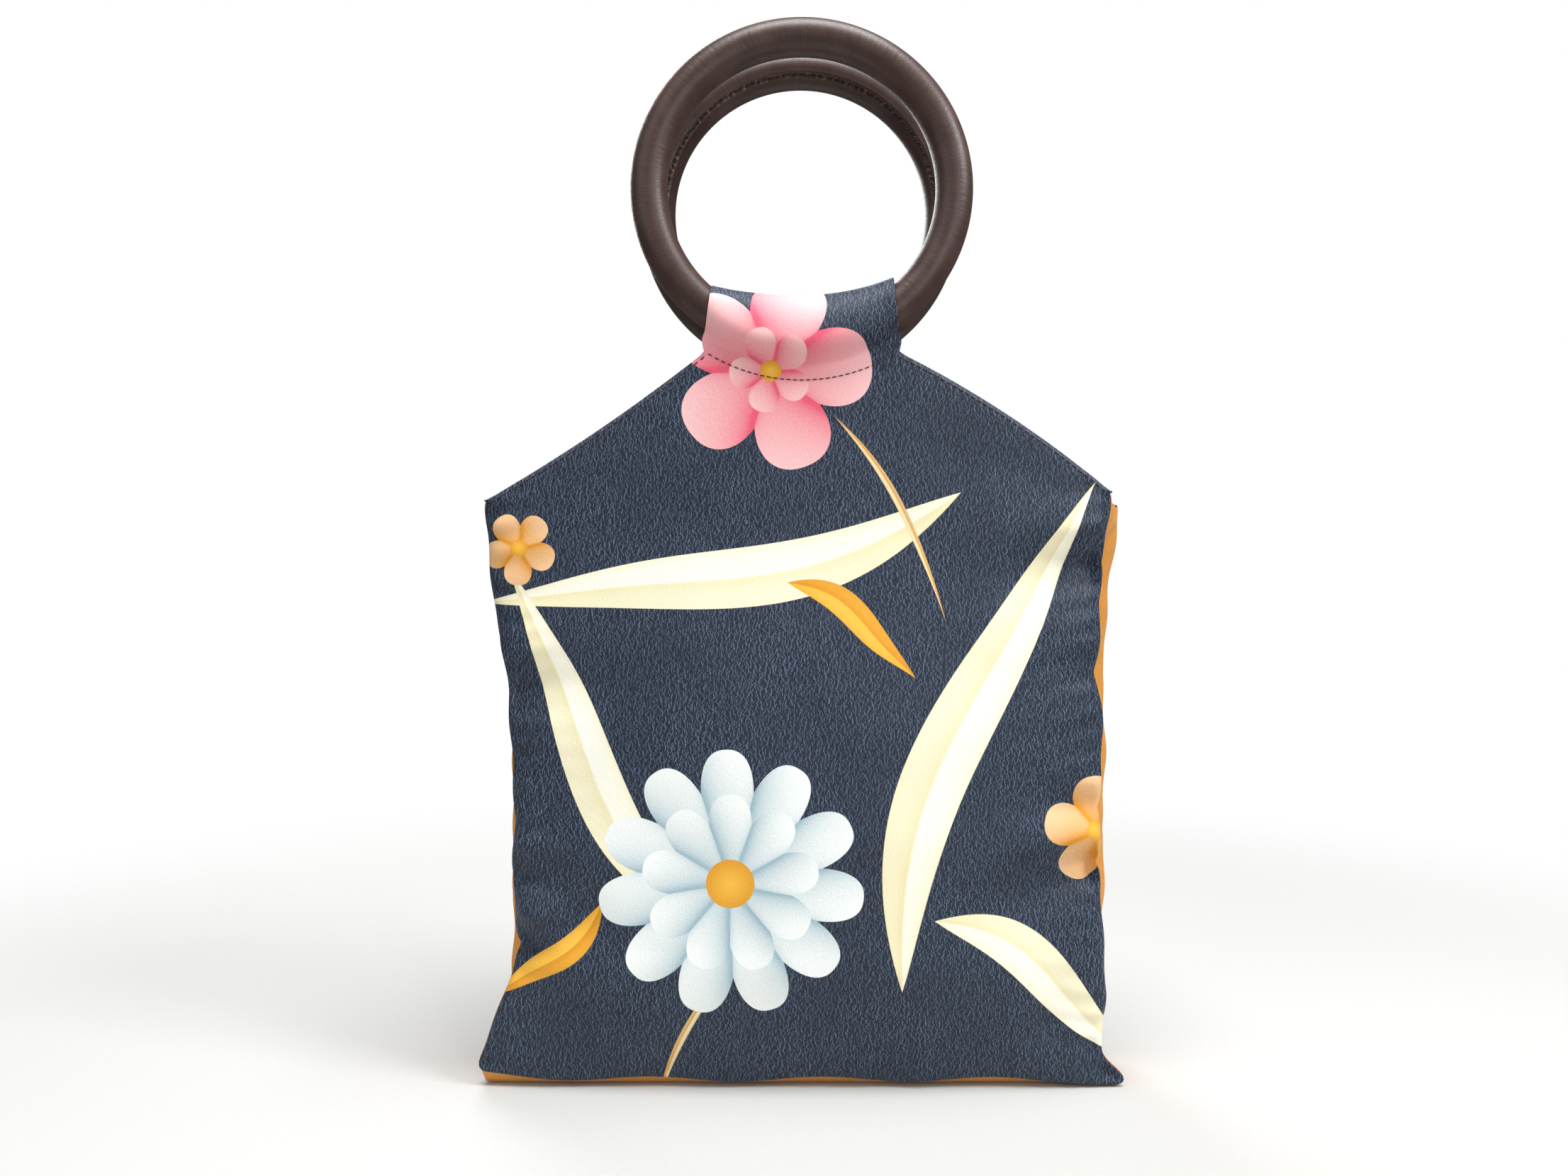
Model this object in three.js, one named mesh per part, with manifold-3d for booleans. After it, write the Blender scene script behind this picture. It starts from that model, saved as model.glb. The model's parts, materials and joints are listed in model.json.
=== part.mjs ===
// A silk handbag with two leather ring handles, in millimetres, +Z up.
// The origin is on the floor under the middle of the bag. The front faces -Y.
import * as THREE from 'three';
import { mergeVertices } from 'three/addons/utils/BufferGeometryUtils.js';
import Module from 'manifold-3d';

const wasm = await Module();
wasm.setup();

// Driving dimensions of the bag
const BASE_HALF = 149; // half the width at the bottom corners
const FRONT_WAIST_HALF = 135; // half the width where the filled front draws in
const BACK_WAIST_HALF = 145; // the flatter back draws in less
const SHOULDER_HALF = 144; // half the width at the shoulder corners
const SHOULDER_HEIGHT = 268; // of the shoulder corners, above the floor
const FLARE_HEIGHT = 70; // the sides have drawn in to the waist by here
const WAIST_TOP = 150; // above this they widen to the shoulders
const CORNER_RADIUS = 7; // bottom corners of the panels
const NECK_HALF = 44; // half the width of the neck under the handle loop
const NECK_RISE = 67; // from the shoulder corners up to the neck's corners
const STITCH_SAG = 13; // how far the curved loop stitching dips at its middle
const PANEL_BOTTOM = 4.5; // the panels end here, above the floor
const GUSSET_WIDTH = 44; // outside of front to outside of back, at the seams
const FRONT_PUFF = 10; // how far the middle of the front bulges
const BACK_PUFF = 5; // the same on the back
const YOKE_PUFF = 2; // the same on the stiffer yokes
const FOLD_DROP = 4; // the yoke folds outwards this far below the shoulder corners
const GUSSET_DROP = 2; // the gusset's hemmed ends stop this far below the fold

// Plies of the cloth, from the outside in
const SILK = 0.8;
const INTERLINING = 1.2;
const LINING = 0.6;
const PLY_GAP = 0.3; // between plies, and between cut edges that meet
const PLY_INSET = 6; // inner plies stop short of the seams by this much
const SEAM_INSET = 1; // the gusset lies this far inside the panels' edges
const SIDE_FOLD = 6; // how far the side gusset folds in
const HEM = 9; // the turned hem at each end of the gusset
const HEM_STEP = 0.5; // the height over which a hem's second layer starts

// Ring handles
const RING_DIAMETER = 156; // outside
const TUBE_DIAMETER = 17;
const LEATHER = 1.4;
const CORE_GAP = 0.3; // leather to core
const SEAM_OPENING = 9; // degrees of the leather section left open at the seam
const RING_LEAN = 1.5; // degrees, the rings lean towards each other
const RING_SEAT = 10; // from the stitching up to the ring, at the middle
const SWING_DROP = 2; // the handle folds over this far below the stitching's middle

// Handle loops
const LOOP_INSET = 3; // the loop's ends lie this far inside the neck's corners
const LOOP_GAP = 0.8; // cloth to leather

// Inner pocket
const POCKET_HALF = 65;
const POCKET_DROP = 49; // from the fold line down to the pocket's mouth
const POCKET_DEPTH = 105;
const POCKET_HEM = 12;

// Facet counts
const RING_STEPS = 44;
const LEATHER_SIDES = 12;
const CORE_SIDES = 7;
const PANEL_COLUMNS = 12;
const PANEL_ROWS = 11;
const YOKE_ROWS = 4;
const LOOP_STEPS = 8;
const GUSSET_SIDE_STEPS = 8;
const CORNER_STEPS = 4;
const POCKET_COLUMNS = 6;
const POCKET_ROWS = 4;

const FOLD_HEIGHT = SHOULDER_HEIGHT - FOLD_DROP;
const NECK_HEIGHT = SHOULDER_HEIGHT + NECK_RISE;
const HALF_DEPTH = GUSSET_WIDTH / 2;
const PLIES = SILK + INTERLINING + LINING + 2 * PLY_GAP;
const RING_RADIUS = (RING_DIAMETER - TUBE_DIAMETER) / 2;
const TUBE_RADIUS = TUBE_DIAMETER / 2;
const STITCH_HEIGHT = NECK_HEIGHT - STITCH_SAG;
const SWING_HEIGHT = STITCH_HEIGHT - SWING_DROP;
const STITCH_RADIUS = (NECK_HALF ** 2 + STITCH_SAG ** 2) / (2 * STITCH_SAG);
const RING_CENTRE = RING_SEAT + TUBE_RADIUS + RING_RADIUS; // above the stitching
const LOOP_HALF = NECK_HALF - LOOP_INSET;

const { clamp, lerp, degToRad } = THREE.MathUtils;
const ease = (t) => THREE.MathUtils.smoothstep(t, 0, 1);

const leather = new THREE.MeshStandardMaterial({ color: 0x3d2e2a, roughness: 0.4 });
const core = new THREE.MeshStandardMaterial({ color: 0xb9a88c, roughness: 0.7 });
const silk = new THREE.MeshStandardMaterial({ color: 0x2f3a4b, roughness: 0.65 });
const orangeCloth = new THREE.MeshStandardMaterial({ color: 0xd08436, roughness: 0.8 });
const wadding = new THREE.MeshStandardMaterial({ color: 0xe9e6df, roughness: 0.95 });
const liningCloth = new THREE.MeshStandardMaterial({ color: 0xc98a45, roughness: 0.7 });

// Shape of the bag

// Half the width of a panel at a height, before its corners are rounded.
// side is -1 in front and 1 behind.
function sideAt(z, side) {
  const waist = side < 0 ? FRONT_WAIST_HALF : BACK_WAIST_HALF;
  const flare = 1 - ease(z / FLARE_HEIGHT);
  const rise = ease((z - WAIST_TOP) / (SHOULDER_HEIGHT - WAIST_TOP));
  return waist + (BASE_HALF - waist) * flare + (SHOULDER_HALF - waist) * rise;
}

function panelHalf(z, side) {
  const below = PANEL_BOTTOM + CORNER_RADIUS - z;
  if (below <= 0) return sideAt(z, side);
  const inwards = Math.sqrt(CORNER_RADIUS ** 2 - Math.min(below, CORNER_RADIUS) ** 2);
  return sideAt(z, side) - CORNER_RADIUS + inwards;
}

// Distance of a panel's outer face from the bag's middle plane.
function faceAt(x, z, side) {
  const fullness = side < 0 ? FRONT_PUFF : BACK_PUFF;
  const fill = ease((z - PANEL_BOTTOM) / FLARE_HEIGHT);
  const flatten = ease((z - WAIST_TOP) / (FOLD_HEIGHT - WAIST_TOP));
  const puff = lerp(fullness * fill, YOKE_PUFF, flatten);
  const across = Math.abs(x) / sideAt(Math.min(z, FOLD_HEIGHT), side);
  return HALF_DEPTH + puff * (1 - clamp(across, 0, 1) ** 2);
}

// Half the width between the sloping shoulders at a height.
function shoulderHalf(z) {
  return lerp(SHOULDER_HALF, NECK_HALF, (z - SHOULDER_HEIGHT) / NECK_RISE);
}

// The yoke's top edge: the sloping shoulders, and the line that the handle folds over.
function yokeTop(x) {
  const slope = (SHOULDER_HALF - Math.abs(x)) / (SHOULDER_HALF - NECK_HALF);
  return Math.min(SHOULDER_HEIGHT + NECK_RISE * slope, SWING_HEIGHT - PLY_GAP / 2);
}

// The curved stitching under the ring, above the middle of its dip.
function stitchRise(x) {
  return STITCH_RADIUS - Math.sqrt(STITCH_RADIUS ** 2 - x ** 2);
}

// Mesh builders

// Turns a mesh's faces round if they point inwards.
function facingOut(geometry) {
  const p = geometry.attributes.position;
  const index = geometry.index.array;
  const [a, b, c] = [0, 1, 2].map(() => new THREE.Vector3());
  let volume = 0;
  for (let i = 0; i < index.length; i += 3) {
    a.fromBufferAttribute(p, index[i]);
    b.fromBufferAttribute(p, index[i + 1]);
    c.fromBufferAttribute(p, index[i + 2]);
    volume += a.dot(b.cross(c));
  }
  if (volume < 0) index.reverse();
  return geometry;
}

// A wall between an outer and an inner grid of points, row by row.
// Where it is closed, each row runs all the way round, as in a tunnel open at both ends.
function wall(outer, inner, closed) {
  const count = outer[0].length;
  const last = outer.length - 1;
  const spans = closed ? count : count - 1;
  const index = [];
  const quad = (a, b, c, d) => index.push(a, b, c, a, c, d);
  const out = (r, i) => r * count + (i % count);
  const back = (r, i) => out(r, i) + outer.length * count;
  for (let i = 0; i < spans; i++) {
    for (let r = 0; r < last; r++) {
      quad(out(r, i), out(r, i + 1), out(r + 1, i + 1), out(r + 1, i));
      quad(back(r, i), back(r + 1, i), back(r + 1, i + 1), back(r, i + 1));
    }
    quad(out(0, i), back(0, i), back(0, i + 1), out(0, i + 1));
    quad(out(last, i), out(last, i + 1), back(last, i + 1), back(last, i));
  }
  for (let r = 0; r < last && !closed; r++) {
    quad(out(r, 0), out(r + 1, 0), back(r + 1, 0), back(r, 0));
    quad(out(r, spans), back(r, spans), back(r + 1, spans), out(r + 1, spans));
  }
  const geometry = new THREE.BufferGeometry().setFromPoints([...outer.flat(), ...inner.flat()]);
  geometry.setIndex(index);
  return facingOut(geometry);
}

// A thin sheet between two surfaces given over a grid of u and v.
function shell(us, vs, outer, inner) {
  const grid = (surface) => vs.map((v) => us.map((u) => surface(u, v)));
  return wall(grid(outer), grid(inner), false);
}

// Even steps from a to b.
function steps(count, a = -1, b = 1) {
  return Array.from({ length: count + 1 }, (_, i) => lerp(a, b, i / count));
}

// Joins two closed meshes into one.
function join(first, second) {
  const [a, b] = [first, second].map((geometry) => {
    geometry.deleteAttribute('normal');
    geometry.deleteAttribute('uv');
    const merged = mergeVertices(geometry, 1e-4);
    return new wasm.Manifold(new wasm.Mesh({
      numProp: 3,
      vertProperties: merged.attributes.position.array,
      triVerts: new Uint32Array(merged.index.array),
    }));
  });
  const mesh = a.add(b).getMesh();
  const geometry = new THREE.BufferGeometry();
  geometry.setAttribute('position', new THREE.BufferAttribute(mesh.vertProperties.slice(), 3));
  geometry.setIndex(new THREE.BufferAttribute(mesh.triVerts.slice(), 1));
  return geometry;
}

const bag = new THREE.Group();

function add(name, geometry, material, parent = bag) {
  const mesh = new THREE.Mesh(geometry, material);
  mesh.name = name;
  parent.add(mesh);
  return mesh;
}

// Cloth sheets

// A sheet that follows a panel's outer face, lying depth under it.
function ply(side, place, vs, depth, thickness) {
  const point = (u, v, under) => {
    const [x, z] = place(u, v);
    return new THREE.Vector3(x, side * (faceAt(x, z, side) - under), z);
  };
  return shell(
    steps(PANEL_COLUMNS), vs,
    (u, v) => point(u, v, depth),
    (u, v) => point(u, v, depth + thickness),
  );
}

// The panel below the fold, with its rows at the given heights.
function panelPlace(inset, side) {
  return (u, z) => [u * (panelHalf(z, side) - inset), z];
}

// Heights that all the plies of a panel share. They close up towards the floor, where it
// curves most.
const ROW_CROWDING = 1.6;
const PLY_BOTTOM = PANEL_BOTTOM + PLY_INSET;
const PLY_HEIGHTS = steps(PANEL_ROWS, 0, 1).map(
  (v) => lerp(PLY_BOTTOM, FOLD_HEIGHT - PLY_GAP / 2, v ** ROW_CROWDING),
);
const PANEL_HEIGHTS = [PANEL_BOTTOM, lerp(PANEL_BOTTOM, PLY_BOTTOM, 1 / 3), ...PLY_HEIGHTS];

// The yoke above the fold. The columns between -FLAT_TOP and FLAT_TOP lie under its straight top.
const FLAT_TOP = 0.5;
function yokePlace(inset) {
  const bottom = FOLD_HEIGHT + PLY_GAP / 2;
  const corner = shoulderHalf(SWING_HEIGHT);
  const half = SHOULDER_HALF - 2 * inset;
  return (u, v) => {
    const a = Math.abs(u);
    const slope = (a - FLAT_TOP) / (1 - FLAT_TOP);
    const x = a < FLAT_TOP ? (a / FLAT_TOP) * corner : lerp(corner, half, slope);
    return [Math.sign(u) * x, lerp(bottom, yokeTop(x) - inset, v)];
  };
}

const interliningDepth = SILK + PLY_GAP;
const liningDepth = interliningDepth + INTERLINING + PLY_GAP;

function addPanel(name, side) {
  const inner = panelPlace(PLY_INSET, side);
  const wad = ply(side, inner, PLY_HEIGHTS, interliningDepth, INTERLINING);
  const cloth = ply(side, inner, PLY_HEIGHTS, liningDepth, LINING);
  add(`${name}_panel`, ply(side, panelPlace(0, side), PANEL_HEIGHTS, 0, SILK), silk);
  add(`${name}_interlining`, wad, wadding);
  add(`${name}_lining`, cloth, liningCloth);
}

function addYoke(name, side) {
  const rows = steps(YOKE_ROWS, 0, 1);
  const inner = yokePlace(PLY_INSET);
  const wad = ply(side, inner, rows, interliningDepth, INTERLINING);
  const cloth = ply(side, inner, rows, liningDepth, LINING);
  add(`${name}_yoke`, ply(side, yokePlace(0), rows, 0, SILK), silk);
  add(`${name}_yoke_interlining`, wad, wadding);
  add(`${name}_yoke_lining`, cloth, liningCloth);
}

// Gusset

// Stations along a panel's seam, from one shoulder down, across the bottom and up to the other.
// Each has a point, the outward direction, and how far it has turned from side to bottom.
function seamStations(side) {
  const radius = CORNER_RADIUS - SEAM_INSET;
  const turnHeight = PANEL_BOTTOM + CORNER_RADIUS;
  const turnX = sideAt(turnHeight, side) - CORNER_RADIUS;
  const hemmed = gussetTop - HEM;
  const below = steps(GUSSET_SIDE_STEPS, hemmed - HEM_STEP, turnHeight).slice(0, -1);
  const upright = [gussetTop, hemmed, ...below].map((z) => ({
    x: -(sideAt(z, side) - SEAM_INSET), z, out: [-1, 0], turned: 0,
  }));
  const corner = steps(CORNER_STEPS, 0, Math.PI / 2).map((t) => ({
    x: -turnX - radius * Math.cos(t),
    z: turnHeight - radius * Math.sin(t),
    out: [-Math.cos(t), -Math.sin(t)],
    turned: t / (Math.PI / 2),
  }));
  const half = [...upright, ...corner];
  const mirrored = half.map((s) => ({ ...s, x: -s.x, out: [-s.out[0], s.out[1]] })).reverse();
  const middle = { x: 0, z: PANEL_BOTTOM + SEAM_INSET, out: [0, -1], turned: 1 };
  return [...half, middle, ...mirrored];
}

// Across the strip, as shares of its half width: the middle of the bottom is flat, and the
// sides fold in evenly. The lining is narrower and follows the same curve.
const FLAT_SHARE = 0.72;
const ACROSS = [0, 0.36, FLAT_SHARE, 0.86, 1];
const gussetHalf = HALF_DEPTH - SILK - PLY_GAP;
const gussetTop = FOLD_HEIGHT - GUSSET_DROP;

function gussetStrip(depth, thickness, half, hem) {
  const share = ACROSS.map((a) => Math.min(a, half / gussetHalf));
  const us = [...share.slice(1).map((a) => -a).reverse(), ...share];
  const bulge = PANEL_BOTTOM + SEAM_INSET;
  const front = seamStations(-1);
  const back = seamStations(1);
  const point = (u, i, under) => {
    const a = Math.abs(u);
    const station = front[i];
    const x = lerp(station.x, back[i].x, (1 + u) / 2);
    const flat = 1 - ease((a - FLAT_SHARE) / (1 - FLAT_SHARE));
    const foldShare = ease((station.z - FLARE_HEIGHT / 4) / FLARE_HEIGHT);
    const fold = -SIDE_FOLD * foldShare * (1 - a ** 2) * (1 - station.turned);
    const out = fold + bulge * flat * station.turned - under;
    return new THREE.Vector3(
      x + station.out[0] * out, u * gussetHalf, station.z + station.out[1] * out,
    );
  };
  const turnedIn = (i) => (front[i].z >= gussetTop - HEM ? hem : 0);
  return shell(
    us, front.map((_, i) => i),
    (u, i) => point(u, i, depth),
    (u, i) => point(u, i, depth + thickness + turnedIn(i)),
  );
}

function addGusset() {
  add('gusset', gussetStrip(0, SILK, gussetHalf, SILK), orangeCloth);
  const lined = HALF_DEPTH - PLIES - PLY_GAP;
  add('gusset_lining', gussetStrip(2 * SILK + PLY_GAP, LINING, lined, 0), liningCloth);
}

// Pocket on the back lining, with a doubled hem along its mouth
function addPocket() {
  const top = FOLD_HEIGHT - POCKET_DROP;
  const hemStart = top - POCKET_HEM;
  const heights = [...steps(POCKET_ROWS, top - POCKET_DEPTH, hemStart), hemStart + HEM_STEP, top];
  const depth = liningDepth + LINING + PLY_GAP;
  const point = (x, z, under) => new THREE.Vector3(x, faceAt(x, z, 1) - under, z);
  add('inner_pocket', shell(
    steps(POCKET_COLUMNS, -POCKET_HALF, POCKET_HALF), heights,
    (x, z) => point(x, z, depth),
    (x, z) => point(x, z, depth + LINING * (z > hemStart ? 2 : 1)),
  ), liningCloth);
}

// Ring handles and their loops

// Part of a tube's section, from one side of the seam round to the other. The seam faces the
// ring's centre.
function sectionArc(radius, count) {
  const open = degToRad(SEAM_OPENING / 2);
  return steps(count, open, 2 * Math.PI - open).map((t) => new THREE.Vector2(
    RING_RADIUS - radius * Math.cos(t), radius * Math.sin(t),
  ));
}

// The leather is wrapped round the core and left open at the seam.
function leatherSection() {
  const inner = sectionArc(TUBE_RADIUS - LEATHER, CORE_SIDES).reverse();
  return [...sectionArc(TUBE_RADIUS, LEATHER_SIDES), ...inner];
}

function coreSection() {
  return sectionArc(TUBE_RADIUS - LEATHER - CORE_GAP, CORE_SIDES);
}

// A ring about the Y axis from a closed section.
function ringOf(section) {
  const geometry = new THREE.LatheGeometry([...section, section[0].clone()], RING_STEPS);
  geometry.deleteAttribute('normal');
  geometry.deleteAttribute('uv');
  return facingOut(mergeVertices(geometry, 1e-4));
}

// The loop's section where x is constant: a cavity that clears the ring, folded cloth round it,
// and a foot sunk into the neck. Heights are from the middle of the stitching.
const LOOP_SHUT = -86; // degrees round the cavity, where its two sides come together
function loopSection(x) {
  const along = Math.sqrt(RING_RADIUS ** 2 - x ** 2);
  const middle = RING_CENTRE - along;
  const low = (TUBE_RADIUS * RING_RADIUS) / along + LOOP_GAP;
  const wide = TUBE_RADIUS + LOOP_GAP;
  const inside = RING_RADIUS - TUBE_RADIUS;
  const foldHeight = RING_CENTRE - Math.sqrt(inside ** 2 - LOOP_HALF ** 2) + LOOP_GAP;
  const loop = (grow) => (degrees) => {
    const t = degToRad(degrees);
    const tall = Math.sin(t) > 0 ? foldHeight - middle : low;
    return new THREE.Vector3(x, (wide + grow) * Math.cos(t), middle + (tall + grow) * Math.sin(t));
  };
  const angles = [-78, -52, -26, 0, 30, 60, 90, 120, 150, 180, 206, 232, 258]; // degrees
  const foot = (y) => new THREE.Vector3(x, y, stitchRise(x) - SILK);
  return {
    outer: [foot(PLIES / 2), ...angles.map(loop(SILK)), foot(-PLIES / 2)],
    inner: [LOOP_SHUT, ...angles, 180 - LOOP_SHUT].map(loop(0)),
  };
}

// The neck under the loop: all plies sewn together, from the line it folds over to the stitching.
function neck() {
  const bottom = PLY_GAP / 2 - SWING_DROP;
  const corner = shoulderHalf(SWING_HEIGHT);
  const shape = new THREE.Shape();
  shape.moveTo(-corner, bottom);
  shape.lineTo(corner, bottom);
  steps(LOOP_STEPS, NECK_HALF, -NECK_HALF).forEach((x) => shape.lineTo(x, stitchRise(x)));
  const sheet = new THREE.ExtrudeGeometry(shape, { depth: PLIES, bevelEnabled: false });
  return sheet.translate(0, 0, -PLIES / 2).rotateX(Math.PI / 2);
}

function addHandle(name, side) {
  const handle = new THREE.Group();
  const sheetMiddle = HALF_DEPTH + YOKE_PUFF - PLIES / 2;
  handle.position.set(0, side * sheetMiddle, STITCH_HEIGHT);
  handle.rotation.x = side * degToRad(RING_LEAN);
  bag.add(handle);
  const sections = steps(LOOP_STEPS, -LOOP_HALF, LOOP_HALF).map(loopSection);
  const loop = wall(sections.map((s) => s.outer), sections.map((s) => s.inner), true);
  add(`${name}_loop`, join(loop, neck()), silk, handle);
  const ring = new THREE.Group();
  ring.position.z = RING_CENTRE;
  handle.add(ring);
  add(`${name}_ring_leather`, ringOf(leatherSection()), leather, ring);
  add(`${name}_ring_core`, ringOf(coreSection()), core, ring);
}

for (const [name, side] of [['front', -1], ['back', 1]]) {
  addPanel(name, side);
  addYoke(name, side);
  addHandle(name, side);
}
addGusset();
addPocket();

export default bag;
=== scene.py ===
"""Looks of a silk handbag: printed silk on an orange gusset, with two leather ring handles.

Sizes are in millimetres. Points turn to metres as they go into a mesh.
"""

import json
import math
from functools import partialmethod
from types import SimpleNamespace
from typing import NamedTuple

import bmesh
import bpy
from bpy.props import FloatProperty, FloatVectorProperty, PointerProperty
from mathutils import Matrix, Vector, noise


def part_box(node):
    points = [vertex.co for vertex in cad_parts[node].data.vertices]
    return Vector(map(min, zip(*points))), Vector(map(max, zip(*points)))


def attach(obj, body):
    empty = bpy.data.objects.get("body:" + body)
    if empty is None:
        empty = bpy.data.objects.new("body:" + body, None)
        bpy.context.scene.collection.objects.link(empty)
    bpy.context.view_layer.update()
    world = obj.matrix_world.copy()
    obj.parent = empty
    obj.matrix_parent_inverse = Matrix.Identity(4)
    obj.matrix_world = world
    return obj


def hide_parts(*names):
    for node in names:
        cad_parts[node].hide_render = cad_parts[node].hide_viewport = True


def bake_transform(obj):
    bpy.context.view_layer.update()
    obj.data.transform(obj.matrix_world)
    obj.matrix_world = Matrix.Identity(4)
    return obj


bl_info = {
    "name": "Silk Handbag",
    "version": (1, 0, 0),
    "blender": (4, 5, 0),
    "location": "3D View > Sidebar > Handbag",
    "description": "Dresses the frame of a silk handbag with leather ring handles",
    "category": "Add Mesh",
}

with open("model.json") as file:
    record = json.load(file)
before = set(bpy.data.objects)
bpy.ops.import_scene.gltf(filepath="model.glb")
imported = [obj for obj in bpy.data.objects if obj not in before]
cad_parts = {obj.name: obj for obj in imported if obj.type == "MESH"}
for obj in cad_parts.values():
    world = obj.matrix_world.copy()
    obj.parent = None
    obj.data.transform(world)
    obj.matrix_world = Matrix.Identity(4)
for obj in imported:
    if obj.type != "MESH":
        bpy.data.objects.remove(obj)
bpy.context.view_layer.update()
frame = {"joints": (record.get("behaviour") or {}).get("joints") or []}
MM = 0.001


# Helpers

def lerp(a, b, t):
    return a + (b - a) * t


def clamp(value, low=0.0, high=1.0):
    return max(low, min(high, value))


def ease(t):
    t = clamp(t)
    return t * t * (3 - 2 * t)


def risen(value, start, length):
    """Eases from 0 at start to 1 a length further on."""
    return ease((value - start) / length)


def bump_at(value, centre, reach):
    """A smooth bump of height 1 round centre."""
    return math.exp(-((value - centre) / reach) ** 2)


def linear(code):
    """Turns an sRGB hex colour to linear RGB."""
    channels = [int(code[i:i + 2], 16) / 255 for i in (1, 3, 5)]
    return tuple(c / 12.92 if c <= 0.04045 else ((c + 0.055) / 1.055) ** 2.4 for c in channels)


# Places and sizes that come from the frame

FRONT, BACK = -1, 1
LEFT, RIGHT = -1, 1
NAMES = {FRONT: "front", BACK: "back"}


def node_box(node):
    low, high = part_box(node)
    return low / MM, high / MM


def joint_place(name):
    joint = next(j for j in frame["joints"] if j["name"] == name)
    return Vector(joint["pos_m"]) / MM


PANEL_BOX = node_box("front_panel")
RING_BOX = node_box("front_ring_leather")
FOLD_HEIGHT = joint_place("front_mouth_fold").z
SWING_HEIGHT = joint_place("front_handle_swing").z
RING_PLACE = joint_place("back_ring_turn")
PANEL_BOTTOM = PANEL_BOX[0].z
HALF_DEPTH = node_box("gusset")[1].y + 1.1  # the gusset lies a ply and a gap inside the silk
PUFF = {FRONT: -PANEL_BOX[0].y - HALF_DEPTH, BACK: node_box("back_panel")[1].y - HALF_DEPTH}
YOKE_PUFF = -node_box("front_yoke")[0].y - HALF_DEPTH
RING_DIAMETER = RING_BOX[1].x - RING_BOX[0].x

# The bag's outline
FLARE_TOP = 56  # the bulge is full above this
WAIST_TOP = 150  # and flattens above this
CORNER_RADIUS = 6
NECK_HALF = 44
NECK_HEIGHT = 335  # of the neck's corners
STITCH_SAG = 13
STITCH_HEIGHT = NECK_HEIGHT - STITCH_SAG
SEAM_HOLD = 5  # a seam holds the cloth flat over this distance
STITCH_RADIUS = (NECK_HALF ** 2 + STITCH_SAG ** 2) / (2 * STITCH_SAG)
BEND = 6.5  # the cloth bends over this height on each side of a fold line
SPLIT_HEIGHT = SWING_HEIGHT - BEND  # the body's cloth hands over to the handle's cloth here
RING_LEAN = math.radians(1.5)
PLIES_HALF = 1.6  # from the middle of the sewn plies to the silk's face
SEAM_TURN = math.radians(60)  # a ring's seam lies this far from its inside, towards the other ring


class Edge(NamedTuple):
    """One side edge of a panel, as half widths and heights."""
    base: float
    waist: float
    shoulder: float
    shoulder_height: float
    bow: float  # how far the sloping shoulder rises over a straight line
    flare_height: float
    rise_start: float
    pinches: tuple  # height, depth and reach of each


EDGES = {
    (FRONT, LEFT): Edge(
        150, 132, 144.5, 267.6, -2.8, 60, 146, ((66, 4.5, 6), (98, 1, 8), (122, 0.8, 7), (206, 0.8, 9)),
    ),
    (FRONT, RIGHT): Edge(
        148.5, 137.4, 141.5, 271.5, 4, 17, 214,
        ((31, 1.1, 4), (42, -1.7, 26), (103, 4, 6), (128, 2, 6), (190, 3, 9), (222, 1.4, 20), (240, 1.6, 7)),
    ),
    (BACK, LEFT): Edge(146, 140, 143, 268, -2, 40, 190, ((80, 1, 10), (150, 0.8, 12))),
    (BACK, RIGHT): Edge(144.5, 148, 154, 268, 2, 30, 200, ((30, 3.2, 34), (112, 1.2, 9), (186, 1, 12))),
}


class Fold(NamedTuple):
    """A pull fold: it starts at a seam and fades out along its length."""
    x: float
    z: float
    degrees: float
    length: float
    depth: float
    width: float


FOLDS = {
    FRONT: [
        Fold(136, 103, 200, 92, 8.5, 9), Fold(138, 128, 172, 60, 4.0, 7),
        Fold(137, 238, 190, 100, 7.0, 11), Fold(-129, 66, 14, 72, 5.6, 9),
        Fold(-118, 78, -58, 76, -3.4, 10), Fold(112, 30, 70, 60, 2.6, 9),
        Fold(-131, 98, -6, 54, 3.4, 7), Fold(-134, 181, 4, 80, 4.0, 11),
        Fold(-142, 12, 48, 84, 2.6, 10), Fold(142, 8, 128, 76, 2.6, 9),
        Fold(40, 4, 96, 34, 1.6, 7), Fold(-62, 4, 84, 40, 1.4, 8),
        Fold(134, 190, 176, 60, 1.6, 8), Fold(-98, 296, 300, 64, 0.8, 9),
    ],
    BACK: [
        Fold(-138, 84, 10, 60, 1.8, 7), Fold(147, 112, 184, 58, 1.9, 7),
        Fold(147, 200, 176, 70, 1.1, 9), Fold(-139, 150, -4, 50, 1.0, 8),
        Fold(-140, 10, 46, 72, 1.5, 9), Fold(143, 8, 130, 70, 1.6, 9),
        Fold(20, 4, 94, 38, 1.0, 8),
    ],
}


# Settings that a user would change

def length_setting(name, description, default):
    """A length that is kept in metres. Its default is given in millimetres."""
    return FloatProperty(
        name=name, description=description, default=default * MM, subtype="DISTANCE", unit="LENGTH", min=0,
    )


def colour_setting(name, description, code):
    return FloatVectorProperty(
        name=name, description=description, default=linear(code),
        subtype="COLOR", size=3, min=0, max=1,
    )


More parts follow.
